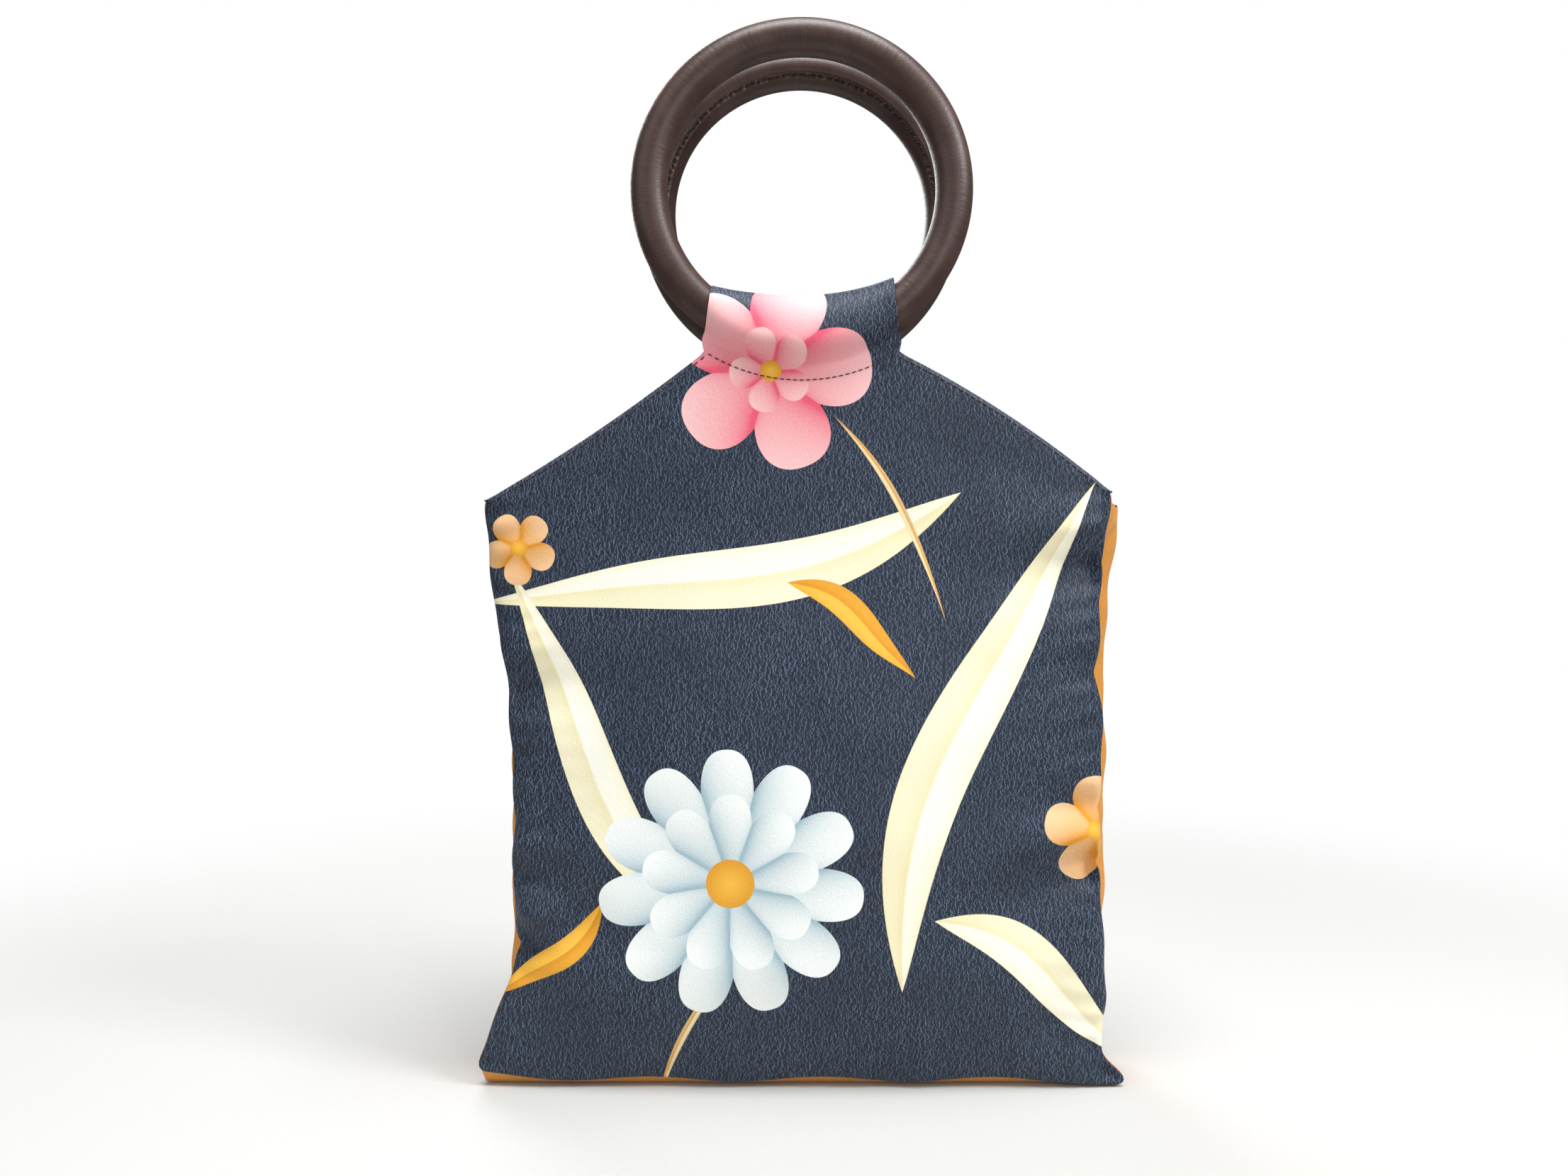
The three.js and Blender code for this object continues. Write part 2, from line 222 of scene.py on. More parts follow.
class HandbagSizes(bpy.types.PropertyGroup):
    """Thicknesses of the cloths, and sizes of the seams, the tube and the stitches."""
    silk: length_setting("Silk", "Thickness of the silk and its fusing", 0.6)
    interlining: length_setting("Interlining", "Thickness of the interlining", 1.0)
    lining: length_setting("Lining", "Thickness of the lining", 0.5)
    seam_roll: length_setting("Seam roll", "How far the silk turns in to a seam", 4.2)
    seam_reach: length_setting("Seam reach", "Width over which the silk rounds to a seam", 14.0)
    edge_roll: length_setting("Edge roll", "Radius of the turned shoulder edges", 1.9)
    side_fold: length_setting("Side fold", "How far the side gusset folds in", 7.0)
    tube: length_setting("Tube", "Diameter of the leather tube", 17.0)
    stitch: length_setting("Stitch", "Length of one stitch", 2.5)
    stitch_gap: length_setting("Stitch gap", "Gap between stitches", 0.7)
    thread: length_setting("Thread", "Diameter of the sewing thread", 0.6)
    fleck: length_setting("Fleck", "Spacing of the flecks in the printed ground", 1.15)


class HandbagColours(bpy.types.PropertyGroup):
    """Colours of the cloths, the print and the leather."""
    ground: colour_setting("Ground", "Navy ground of the print", "#1E2634")
    fleck: colour_setting("Fleck", "Blue-grey flecks on the ground", "#5D6D83")
    ivory: colour_setting("Ivory", "Light side of the leaves", "#FEFCEC")
    cream: colour_setting("Cream", "Shaded side of the leaves", "#EDE3B4")
    white: colour_setting("White", "Petals of the large bloom", "#F8FBF8")
    mist: colour_setting("Mist", "Shade between the white petals", "#9DB9C4")
    gold: colour_setting("Gold", "Heart of the large bloom", "#F6BE48")
    amber: colour_setting("Amber", "Shade of the gold parts", "#D98F1E")
    pink: colour_setting("Pink", "Outer petals of the blossom", "#F8C6C6")
    coral: colour_setting("Coral", "Inner petals of the blossom", "#E85A75")
    peach: colour_setting("Peach", "Small blossom at the seam", "#F2C79A")
    gusset: colour_setting("Gusset", "Orange silk of the gusset", "#DE963E")
    interlining: colour_setting("Interlining", "Woven interlining", "#E9E5DC")
    lining: colour_setting("Lining", "Ochre lining", "#C98A45")
    leather: colour_setting("Leather", "Dyed leather of the rings", "#3D2B27")
    leather_worn: colour_setting("Rubbed leather", "Leather where it is handled", "#58433C")
    raw_leather: colour_setting("Raw leather", "Cut edge of the leather in its seam", "#8C7B70")
    hoop: colour_setting("Hoop", "Wood inside the leather", "#B89A6C")
    thread: colour_setting("Thread", "Topstitching", "#4A2334")
    gusset_thread: colour_setting("Gusset thread", "Topstitching of the gusset", "#B97428")


# Shape of the bag

SCALLOPS = ((0.5, 5.3, 1), (0.45, 8.9, 2))  # height, length over 2 pi and turns of the phase
SCALLOPS_END = 14  # they fade out this far below the shoulder
BOTTOM_WAVES = {FRONT: (1.1, 12.5, 0.8), BACK: (0.8, 15, 0)}  # height, length over 2 pi and phase
BASE_HALF = 148
FRONT_DROP = 1  # the front's bottom seam lies lower by this
FRONT_TILT = 2.6  # and its right corner by this more, and its left corner by this less
SLOPE_COS = 0.83  # of the shoulders
FOLD_SPREAD = 0.8  # share by which a pull fold grows wider
RIDGE = 0.45  # height of the ridge over a pull fold, as a share of its depth
RIDGE_PLACE = 1.6  # and its place, in widths of the fold
SLACK = ((1.3, 62, 74, 3), (0.5, 24, 30, 7))  # height, width, length and seed of the soft waves
PUCKER = 0.8  # height of the puckers
SIDE_PUCKERS = (12, 1.75)  # distance over which they fade, and their pitch over 2 pi
BOTTOM_PUCKERS = (11, 1.9)
WANDER = (2.2, 40)  # how far the puckers stray, and over what length
BOTTOM_REACH = 1.4  # the silk rounds to the bottom seam over a longer reach than to the sides
CROWDING = 0.06  # less of it makes the first steps smaller


def hand_of(x):
    return LEFT if x < 0 else RIGHT


def scallop(z, phase):
    """The small waves that a seam draws in a side edge."""
    return sum(height * math.sin(z / length + turns * phase) for height, length, turns in SCALLOPS)


def bottom_line(side, x):
    """Height of a panel's bottom seam."""
    height, length, phase = BOTTOM_WAVES[side]
    wave = height * math.sin(x / length + phase)
    if side == BACK:
        return PANEL_BOTTOM + wave
    return PANEL_BOTTOM - FRONT_DROP - FRONT_TILT * (x / BASE_HALF) ** 5 + wave


def edge_half(side, hand, z):
    """Half width of a panel at a height."""
    edge = EDGES[side, hand]
    flare = 1 - ease(z / edge.flare_height)
    rise = risen(z, edge.rise_start, edge.shoulder_height - edge.rise_start)
    half = edge.waist + (edge.base - edge.waist) * flare + (edge.shoulder - edge.waist) * rise
    for height, depth, reach in edge.pinches:
        half -= depth * math.exp(-abs(z - height) / reach)
    calm = 1 - risen(z, edge.shoulder_height - SCALLOPS_END, SCALLOPS_END)
    half += scallop(z, 2 * side + 3 * hand) * calm
    below = bottom_line(side, hand * edge.base) + CORNER_RADIUS - z
    if below > 0:
        half -= CORNER_RADIUS - math.sqrt(CORNER_RADIUS ** 2 - min(below, CORNER_RADIUS) ** 2)
    return half


def shoulder_line(side, x):
    """Height of the sloping shoulder over x."""
    edge = EDGES[side, hand_of(x)]
    share = clamp((edge.shoulder - abs(x)) / (edge.shoulder - NECK_HALF))
    return lerp(edge.shoulder_height, NECK_HEIGHT, share) + 4 * edge.bow * share * (1 - share)


def slope_half(side, hand, z):
    """Half the width between the sloping shoulders at a height: shoulder_line turned round."""
    edge = EDGES[side, hand]
    climb = NECK_HEIGHT - edge.shoulder_height + 4 * edge.bow
    rise = z - edge.shoulder_height
    share = 2 * rise / (climb + math.sqrt(climb ** 2 - 16 * edge.bow * rise))
    return lerp(edge.shoulder, NECK_HALF, share)


def stitch_line(x):
    """Height of the curved stitching under the ring."""
    return STITCH_HEIGHT + STITCH_RADIUS - math.sqrt(STITCH_RADIUS ** 2 - x ** 2)


def rounding(distance, reach):
    """Runs from 0 at an edge to 1 at its reach, as the quarter of a circle."""
    left = clamp(1 - distance / reach)
    return math.sqrt(1 - left ** 2)


def fold_relief(fold, x, z):
    """Groove of a pull fold, with a soft ridge above it."""
    turn = math.radians(fold.degrees)
    dx, dz = x - fold.x, z - fold.z
    along = dx * math.cos(turn) + dz * math.sin(turn)
    off = -dx * math.sin(turn) + dz * math.cos(turn)
    share = along / fold.length
    if share > 1:
        return 0
    strength = (1 - share) ** 2 if share > 0 else bump_at(along, 0, fold.width)
    wide = fold.width * (1 + FOLD_SPREAD * clamp(share))
    above = off if math.cos(turn) > 0 else -off
    profile = RIDGE * bump_at(above, RIDGE_PLACE * wide, wide) - bump_at(above, 0, wide)
    return fold.depth * strength * profile


def relief(side, x, z, to_side, to_bottom):
    """Softness of the filled cloth: slack, pull folds and the puckers along its seams."""
    slack = 0
    for height, width, length, seed in SLACK:
        slack += height * noise.noise(Vector((x / width, z / length, seed * side)))
    for fold in FOLDS[side]:
        slack += fold_relief(fold, x, z)
    stray, length = WANDER
    wander = stray * noise.noise(Vector((x / length, z / length, 11 * side)))
    pucker = 0
    for (fade, pitch), distance, along in ((SIDE_PUCKERS, to_side, z), (BOTTOM_PUCKERS, to_bottom, x)):
        pucker += PUCKER * math.exp(-distance / fade) * math.sin(along / pitch + wander * 2)
    firm = 1 - risen(z, FOLD_HEIGHT, SPLIT_HEIGHT - FOLD_HEIGHT)
    return (slack + pucker) * firm * ease(min(to_side, to_bottom) / SEAM_HOLD)


def face(side, x, z, sizes, shoulders):
    """Distance of a panel's outer face from the middle plane of the bag."""
    hand = hand_of(x)
    level = min(z, EDGES[side, hand].shoulder_height)
    half = edge_half(side, hand, level)
    fill = risen(z, PANEL_BOTTOM, FLARE_TOP)
    flatten = risen(z, WAIST_TOP, FOLD_HEIGHT - WAIST_TOP)
    puff = lerp(PUFF[side] * fill, YOKE_PUFF, flatten)
    depth = HALF_DEPTH + puff * (1 - clamp(abs(x) / half) ** 2)
    to_side = max(half - abs(x), 0)
    to_bottom = max(z - bottom_line(side, x), 0)
    depth += relief(side, x, z, to_side, to_bottom)
    if z < EDGES[side, hand].shoulder_height:
        full = rounding(to_side, sizes.seam_reach) * rounding(to_bottom, BOTTOM_REACH * sizes.seam_reach)
        depth -= sizes.seam_roll * (1 - full)
    if shoulders and abs(x) > NECK_HALF - 1:
        to_slope = (shoulder_line(side, x) - z) * SLOPE_COS
        depth -= sizes.edge_roll * (1 - rounding(to_slope, 2 * sizes.edge_roll))
    return depth


def on_face(side, x, z, sizes, under=0, shoulders=False):
    """A point under a panel's outer face. With shoulders, the sloping edges are turned in."""
    return Vector((x, side * (face(side, x, z, sizes, shoulders) - under), z))


def crowd(t):
    """Runs from 0 to 1 with small first steps, so that a turned edge has enough rows."""
    return t * t / (t + CROWDING) * (1 + CROWDING)


def across(u, knee, half):
    """Signed distance from the middle. Half of the columns lie inside the knee."""
    share = abs(u)
    reach = knee * 2 * share if share < 0.5 else half - (half - knee) * crowd(2 - 2 * share)
    return math.copysign(reach, u)


def body_place(side, u, v, inset):
    """Flat place of a grid point on a panel and its yoke."""
    hand = hand_of(u)
    edge = EDGES[side, hand]
    share = 0.5 * crowd(2 * v) if v < 0.5 else 1 - 0.5 * crowd(2 - 2 * v)
    slope_inset = inset / SLOPE_COS
    low = bottom_line(side, hand * edge.base)
    half = edge_half(side, hand, lerp(low + inset, edge.shoulder_height, share)) - inset
    low_half = edge_half(side, hand, low + inset) - inset
    split = slope_half(side, hand, SPLIT_HEIGHT + slope_inset)
    x = across(u, lerp(low_half / 2, split, share), half)
    x_top = across(u, split, edge.shoulder - inset)
    x_bottom = across(u, low_half / 2, low_half)
    top = min(shoulder_line(side, x_top) - slope_inset, SPLIT_HEIGHT)
    return x, lerp(bottom_line(side, x_bottom) + inset, top, share)


# Mesh helpers

def linked(name, data):
    """A new object in the scene."""
    obj = bpy.data.objects.new(name, data)
    bpy.context.scene.collection.objects.link(obj)
    return obj


def finished(bm, name, material, smooth_angle=50):
    """Makes a bmesh an object with one material."""
    mesh = bpy.data.meshes.new(name)
    bm.to_mesh(mesh)
    bm.free()
    for polygon in mesh.polygons:
        polygon.use_smooth = True
    mesh.set_sharp_from_angle(angle=math.radians(smooth_angle))
    mesh.materials.append(material)
    return linked(name, mesh)


def sheet(name, grid, place, thickness, outward, material):
    """A sheet of cloth from a grid. place gives a point and its spot on the flat cloth, in mm."""
    bm = bmesh.new()
    bmesh.ops.create_grid(bm, x_segments=grid[0], y_segments=grid[1], size=1)
    cut = bm.loops.layers.uv.new("cut")
    flat = {}
    for vert in bm.verts:
        point, spot = place(vert.co.x, (vert.co.y + 1) / 2)
        vert.co = Vector(point) * MM
        flat[vert.index] = spot
    for loop in (loop for cloth_face in bm.faces for loop in cloth_face.loops):
        loop[cut].uv = Vector(flat[loop.vert.index]) * MM
    bm.normal_update()
    bm.faces.ensure_lookup_table()
    if bm.faces[0].normal.dot(Vector(outward)) < 0:
        bmesh.ops.reverse_faces(bm, faces=bm.faces[:])
    bmesh.ops.solidify(bm, geom=bm.faces[:], thickness=thickness * MM)
    bmesh.ops.recalc_face_normals(bm, faces=bm.faces[:])
    return finished(bm, name, material)


STITCH_LIFT = 0.2  # share of the thread's thickness by which a stitch stands out


def stitches(name, lines, sizes, material, slant=0):
    """Topstitching: small threads laid along lines. A line gives a point and the way out, in mm."""
    bm = bmesh.new()
    pitch = sizes.stitch + sizes.stitch_gap
    size = Matrix.Diagonal((sizes.stitch / 2, sizes.thread / 2, sizes.thread / 2, 1))
    for line, length in lines:
        count = max(int(length / pitch), 1)
        for i in range(count):
            here, out = line((i + 0.5) / count)
            ahead = line((i + 0.6) / count)[0]  # a tenth of a stitch further on
            out = Vector(out).normalized()
            along = (Vector(ahead) - Vector(here)).normalized()
            along = Matrix.Rotation(slant, 3, out) @ along
            turn = Matrix((along, out.cross(along), out)).transposed().to_4x4()
            spot = Matrix.Translation(Vector(here) + out * sizes.thread * STITCH_LIFT)
            matrix = Matrix.Scale(MM, 4) @ spot @ turn @ size
            bmesh.ops.create_uvsphere(bm, u_segments=8, v_segments=5, radius=1, matrix=matrix)
    return finished(bm, name, material, 80)


# Materials

class Signal:
    """One output of a node. Arithmetic with it adds maths nodes."""

    def __init__(self, socket):
        self.socket = socket
        self.tree = socket.id_data

    def then(self, operation, *values):
        return maths(operation, self, *values)

    __add__ = partialmethod(then, "ADD")
    __sub__ = partialmethod(then, "SUBTRACT")
    __mul__ = partialmethod(then, "MULTIPLY")
    __truediv__ = partialmethod(then, "DIVIDE")
    __pow__ = partialmethod(then, "POWER")
    __abs__ = partialmethod(then, "ABSOLUTE")
    times = partialmethod(then, "MULTIPLY_ADD")  # times a factor, plus what follows

    def __rsub__(self, other):
        return maths("SUBTRACT", other, self)

    def clamped(self):
        """Keeps the result of this node between 0 and 1."""
        self.socket.node.use_clamp = True
        return self


def add_node(tree, kind, sockets=None, output=0, **settings):
    """Adds a node, sets it up, fills or links its inputs and gives one of its outputs."""
    node = tree.nodes.new(kind)
    for key, value in settings.items():
        setattr(node, key, value)
    for key, value in (sockets or {}).items():
        if isinstance(value, Signal):
            tree.links.new(value.socket, node.inputs[key])
        else:
            node.inputs[key].default_value = value
    return Signal(node.outputs[output])


def maths(operation, *values):
    """Arithmetic between signals, or between signals and numbers."""
    tree = next(value.tree for value in values if isinstance(value, Signal))
    return add_node(tree, "ShaderNodeMath", dict(enumerate(values)), operation=operation)


def new_finish(name, **shader_values):
    """A new material with plain values on its shader."""
    material = bpy.data.materials.new(name)
    material.use_nodes = True
    shader = material.node_tree.nodes["Principled BSDF"]
    for key, value in shader_values.items():
        shader.inputs[key.replace("_", " ")].default_value = value
    return material


def surface(material, colour, height, depth_mm, **more):
    """Feeds colour, bump and what else is given to the material's shader."""
    tree = material.node_tree
    shader = tree.nodes["Principled BSDF"]
    bump = add_node(tree, "ShaderNodeBump", {"Strength": 1, "Distance": depth_mm * MM, "Height": height})
    for key, signal in {"Base Color": colour, "Normal": bump, **more}.items():
        tree.links.new(signal.socket, shader.inputs[key])
    return material


def from_metres(place):
    sockets = {0: place, "Scale": 1 / MM}
    return add_node(place.tree, "ShaderNodeVectorMath", sockets, operation="SCALE")


def cloth_place(material):
    """Spot on the flat cloth, in millimetres."""
    return from_metres(add_node(material.node_tree, "ShaderNodeUVMap", uv_map="cut"))


def object_place(material):
    """Place in the object, in millimetres."""
    return from_metres(add_node(material.node_tree, "ShaderNodeTexCoord", output="Object"))


def mapped(place, mapping, kind="POINT"):
    return add_node(place.tree, "ShaderNodeMapping", {"Vector": place, **mapping}, vector_type=kind)


def first_two(place):
    """The first two numbers of a place."""
    outputs = add_node(place.tree, "ShaderNodeSeparateXYZ", {0: place}).socket.node.outputs
    return Signal(outputs[0]), Signal(outputs[1])


def toned(colour, share):
    """A linear colour made darker, or lighter where share is over 1."""
    return tuple(c * share for c in colour)


def blended(share, first, second):
    """Mixes two colours, given as signals or as linear RGB."""
    colours = [colour if isinstance(colour, Signal) else (*colour, 1) for colour in (first, second)]
    sockets = {0: share, 6: colours[0], 7: colours[1]}
    return add_node(share.tree, "ShaderNodeMix", sockets, 2, data_type="RGBA")


WAVE_FACTOR = 10  # a diagonal wave texture multiplies its place by this


def ribs(place, spacing, bands, more=None):
    """Fine ribs. Diagonal ones lie spacing millimetres apart along an axis, others half as far."""
    sockets = {"Vector": place, "Scale": 2 * math.pi / (WAVE_FACTOR * spacing), **(more or {})}
    return add_node(place.tree, "ShaderNodeTexWave", sockets, "Fac", bands_direction=bands)


def twill(place):
    return ribs(place, 0.8, "DIAGONAL", {"Distortion": 0.6, "Detail": 1, "Detail Scale": 3})


def speckle(place, size, detail=2, distortion=0):
    """Noise whose blots are about size millimetres wide."""
    sockets = {"Vector": place, "Scale": 1 / size, "Detail": detail, "Distortion": distortion}
    return add_node(place.tree, "ShaderNodeTexNoise", sockets, "Fac", noise_dimensions="2D")


class Leaf(NamedTuple):
    """A long leaf of the print: its middle, its way, its size, and how many degrees it bends."""
    x: float
    z: float
    way: float
    length: float
    width: float
    bend: float
    light: str
    shade: str


class Bloom(NamedTuple):
    """A ring of petals of the print, with a heart in its middle."""
    x: float
    z: float
    radius: float
    petals: int
    turn: float
    notch: float
    heart: float
    light: str
    shade: str


MOTIFS = {
    FRONT: [
        Leaf(72, 168, 68, 250, 30, 34, "ivory", "cream"),
        Leaf(-34, 232, 12, 228, 27, -30, "ivory", "cream"),
        Leaf(-96, 150, 118, 190, 24, 26, "ivory", "cream"),
        Leaf(112, 52, 142, 120, 22, -38, "ivory", "cream"),
        Leaf(26, 214, -38, 74, 13, 40, "gold", "amber"),
        Leaf(-112, 60, 40, 70, 12, -36, "gold", "amber"),
        Leaf(-48, 36, 62, 96, 3.6, 24, "cream", "amber"),
        Leaf(46, 262, 118, 110, 3.6, -30, "cream", "amber"),
        Bloom(-32, 96, 60, 11, 10, 0.30, 0, "white", "mist"),
        Bloom(-32, 96, 40, 9, 30, 0.30, 11, "white", "mist"),
        Bloom(-14, 326, 46, 5, 38, 0.42, 0, "pink", "coral"),
        Bloom(-14, 326, 19, 5, 4, 0.42, 5, "pink", "coral"),
        Bloom(134, 118, 25, 5, 60, 0.4, 5, "peach", "amber"),
        Bloom(-128, 246, 17, 5, 15, 0.4, 4, "peach", "amber"),
    ],
    BACK: [
        Leaf(-60, 120, 64, 230, 30, -30, "ivory", "cream"),
        Leaf(40, 58, 172, 200, 26, 28, "ivory", "cream"),
        Leaf(96, 226, 128, 150, 23, 34, "ivory", "cream"),
        Leaf(8, 176, 30, 80, 13, -40, "gold", "amber"),
        Bloom(62, 158, 58, 11, 24, 0.30, 0, "white", "mist"),
        Bloom(62, 158, 39, 9, 8, 0.30, 11, "white", "mist"),
        Bloom(-84, 232, 34, 5, 20, 0.42, 0, "pink", "coral"),
        Bloom(-84, 232, 15, 5, 52, 0.42, 4, "pink", "coral"),
        Bloom(24, 340, 26, 5, 48, 0.4, 5, "peach", "amber"),
        Bloom(-122, 44, 19, 5, 0, 0.4, 4, "peach", "amber"),
    ],
}


def local_place(place, x, z, turn):
    """Distance from a motif's own middle, and the angle round it."""
    here = mapped(place, {"Location": (x, z, 0), "Rotation": (0, 0, turn)}, "TEXTURE")
    along, up = first_two(here)
    return maths("SQRT", along ** 2 + up ** 2), maths("ARCTAN2", up, along)


def draw_leaf(place, grain, leaf, ground, colours):
    """Paints a leaf that lies along an arc, shaded from one side to the other."""
    arc = leaf.length / math.radians(abs(leaf.bend))
    towards = math.radians(leaf.way + math.copysign(90, leaf.bend))
    x = leaf.x - arc * math.cos(towards)
    z = leaf.z - arc * math.sin(towards)
    radius, angle = local_place(place, x, z, towards)
    along = angle * (arc / (leaf.length / 2))
    half = (1 - along * along).clamped() * along.times(0.3, 1) * (leaf.width / 2)
    wave = maths("SINE", along * 3.6) * (leaf.width / 7)
    off = radius - arc - wave
    mask = ((half - abs(off)) * 4).clamped()
    side = off / maths("MAXIMUM", half, 0.5)
    fold = side.times(9, 0.5).clamped()
    near_rib = (1 - abs(side)).clamped()
    tone = fold * near_rib.times(0.7, 0.2)
    tone = ((1 - near_rib) ** 3).times(0.5, tone)
    tone = ((along * along).times(0.35, tone) + grain).clamped()
    paint = blended(tone, getattr(colours, leaf.light), getattr(colours, leaf.shade))
    return blended(mask, ground, paint)


def draw_bloom(place, grain, bloom, ground, colours):
    """Paints a ring of petals, each shaded where the next one lies over it."""
    radius, angle = local_place(place, bloom.x, bloom.z, math.radians(bloom.turn))
    share = maths("FRACT", angle * (bloom.petals / (2 * math.pi)))
    middle = abs(share.times(2, -1))
    tip = (middle ** 2.6).times(-bloom.notch, 1)
    reach = radius / bloom.radius
    mask = ((tip - reach) * (bloom.radius * 3)).clamped()
    tone = ((1 - reach).clamped() ** 1.2).times(0.8, share ** 3 * 0.7)
    tone = ((middle ** 6).times(0.3, tone) + grain).clamped()
    paint = blended(tone, getattr(colours, bloom.light), getattr(colours, bloom.shade))
    colour = blended(mask, ground, paint)
    if bloom.heart:
        heart = ((bloom.heart - radius) * 3).clamped()
        tone = (radius / (bloom.heart * 1.3) + grain).clamped()
        colour = blended(heart, colour, blended(tone, colours.gold, colours.amber))
    return colour


CREPE = {"Scale": (1, 0.55, 1), "Rotation": (0, 0, math.radians(24))}  # how the flecks lie
FLECK_SHADOW = (0.3, 0.12, 0)  # the flecks are drawn as ridges lit from this side, in millimetres


def printed_silk(side, sizes, colours):
    """Printed silk twill, pressed over a fusing: a soft sheen, fine diagonal ribs and a navy ground
    with a fleck like brushed crepe. Real twill ribs are 0.3 mm apart and are drawn at 0.6 mm."""
    name = f"printed_silk_twill_{NAMES[side]}"
    material = new_finish(name, Roughness=0.5, Specular_IOR_Level=0.25, Sheen_Weight=0.05)
    place = cloth_place(material)
    grain = speckle(place, 0.7, 3).times(0.5, -0.25)  # unevenness of the print's ink
    ridges = speckle(mapped(place, CREPE), sizes.fleck, 1.5, 0.7)
    beside = speckle(mapped(place, {**CREPE, "Location": FLECK_SHADOW}), sizes.fleck, 1.5, 0.7)
    fleck = (ridges - beside).times(10, -0.22).clamped()
    drift = speckle(place, 45).times(0.7, 0.45)
    colour = blended(fleck * drift, colours.ground, colours.fleck)
    for motif in MOTIFS[side]:
        draw = draw_leaf if isinstance(motif, Leaf) else draw_bloom
        colour = draw(place, grain, motif, colour, colours)
    return surface(material, colour, ridges.times(0.8, twill(place) * 0.35), 0.14)


def plain_silk(colours):
    """Plain orange silk twill of the gusset: softer and duller than the print, with faint slubs."""
    material = new_finish("orange_silk_twill", Roughness=0.6, Specular_IOR_Level=0.3, Sheen_Weight=0.1)
    place = cloth_place(material)
    slubs = speckle(mapped(place, {"Scale": (0.45, 1, 1)}), 0.9, 3)
    tone = (slubs.times(1.3, speckle(place, 24) * 0.3) - 0.45).clamped()
    colour = blended(tone, colours.gusset, toned(colours.gusset, 0.78))
    return surface(material, colour, slubs.times(0.5, twill(place) * 0.5), 0.15)


def woven_cloth(name, colour, spacing, roughness):
    """Plain weave: matt, with threads that cross at right angles. Drawn coarser than the real cloth."""
    material = new_finish(name, Roughness=roughness, Sheen_Weight=0.15)
    place = cloth_place(material)
    uneven = {"Distortion": 0.4, "Detail": 1}
    threads = ribs(place, spacing, "X", uneven) * ribs(place, spacing, "Y", uneven)
    tone = threads.times(-0.35, speckle(place, 9)).clamped()
    return surface(material, blended(tone, colour, toned(colour, 0.8)), threads, 0.2)


def ring_leather(colours, sizes):
    """Dyed calf leather drawn tight over a hoop: a half gloss with a fine grain, rubbed lighter where
    it is handled, and creased across the tube. UV runs along the ring and round the tube."""
    material = new_finish("dyed_calf_leather", Roughness=0.4, Specular_IOR_Level=0.4)
    place = cloth_place(material)
    cells = {"Vector": object_place(material), "Scale": 1 / 0.8}
    grain = add_node(place.tree, "ShaderNodeTexVoronoi", cells, "Distance", feature="DISTANCE_TO_EDGE")
    grain = (grain * 2.4).clamped()
    creases = speckle(mapped(place, {"Scale": (1, 0.16, 1)}), 1.5, 3, 0.4)
    rubbed = speckle(place, 14, 3).times(1.6, -0.55).clamped() * 0.6
    colour = blended(rubbed, colours.leather, colours.leather_worn)
    from_seam = first_two(place)[1] - SEAM_TURN * sizes.tube / 2
    near_seam = (1.3 - abs(from_seam)).clamped()
    ragged = speckle(place, 2.2, 3).times(6, -3.1).clamped()
    colour = blended(near_seam * ragged, colour, colours.raw_leather)
    height = grain.times(0.3, creases)
    return surface(material, colour, height, 0.09, Roughness=creases.times(0.2, 0.31))


def hoop_wood(colours):
    """Bent and turned beech hoop under the leather: pale, matt, with grain along the hoop."""
    material = new_finish("turned_beech", Roughness=0.6)
    lines = speckle(mapped(cloth_place(material), {"Scale": (0.06, 1, 1)}), 1.6, 4)
    return surface(material, blended(lines, colours.hoop, toned(colours.hoop, 0.62)), lines, 0.08)


def sewing_thread(name, colour):
    """Polyester thread: a soft gloss, with its twist drawn as fine ridges."""
    material = new_finish(name, Roughness=0.45)
    twist = ribs(object_place(material), 0.3, "DIAGONAL")
    return surface(material, blended(twist, colour, toned(colour, 0.6)), twist, 0.05)


# Operators

def in_millimetres(sizes):
    return SimpleNamespace(**{name: getattr(sizes, name) / MM for name in sizes.__annotations__})


class HandbagOperator:
    """What every piece's operator shares."""
    bl_options = {"REGISTER", "UNDO"}

    def execute(self, context):
        scene = context.scene
        self.build(in_millimetres(scene.handbag_sizes), scene.handbag_colours)
        return {"FINISHED"}


CAMERA_PLACE = (-0.008, -0.5653, 0.228)  # worked out from the scale and the view of the photo
CAMERA_LENS = 27.5
CAMERA_SENSOR = 36
FLOOR_SIZE = 3000
FLOOR_FADE = (330, 800)  # the paper fades into the white background between these distances
AMBIENT = 0.15  # light from all round, where the background itself is 1
LAMPS_AIM = (0, 0, 0.3)
LAMPS = (  # name, place and size in metres, and watts
    ("window", (0.5, -1.1, 0.44), (0.12, 0.75), 3.5),
    ("right", (0.95, -0.5, 1.1), (0.4, 0.4), 12),
    ("left", (-0.9, -0.8, 0.9), (0.9, 0.9), 3.5),
    ("top", (0.1, -0.3, 1.7), (1.0, 0.7), 34),
    ("behind", (-0.5, 1.1, 1.0), (0.9, 0.9), 14),
)


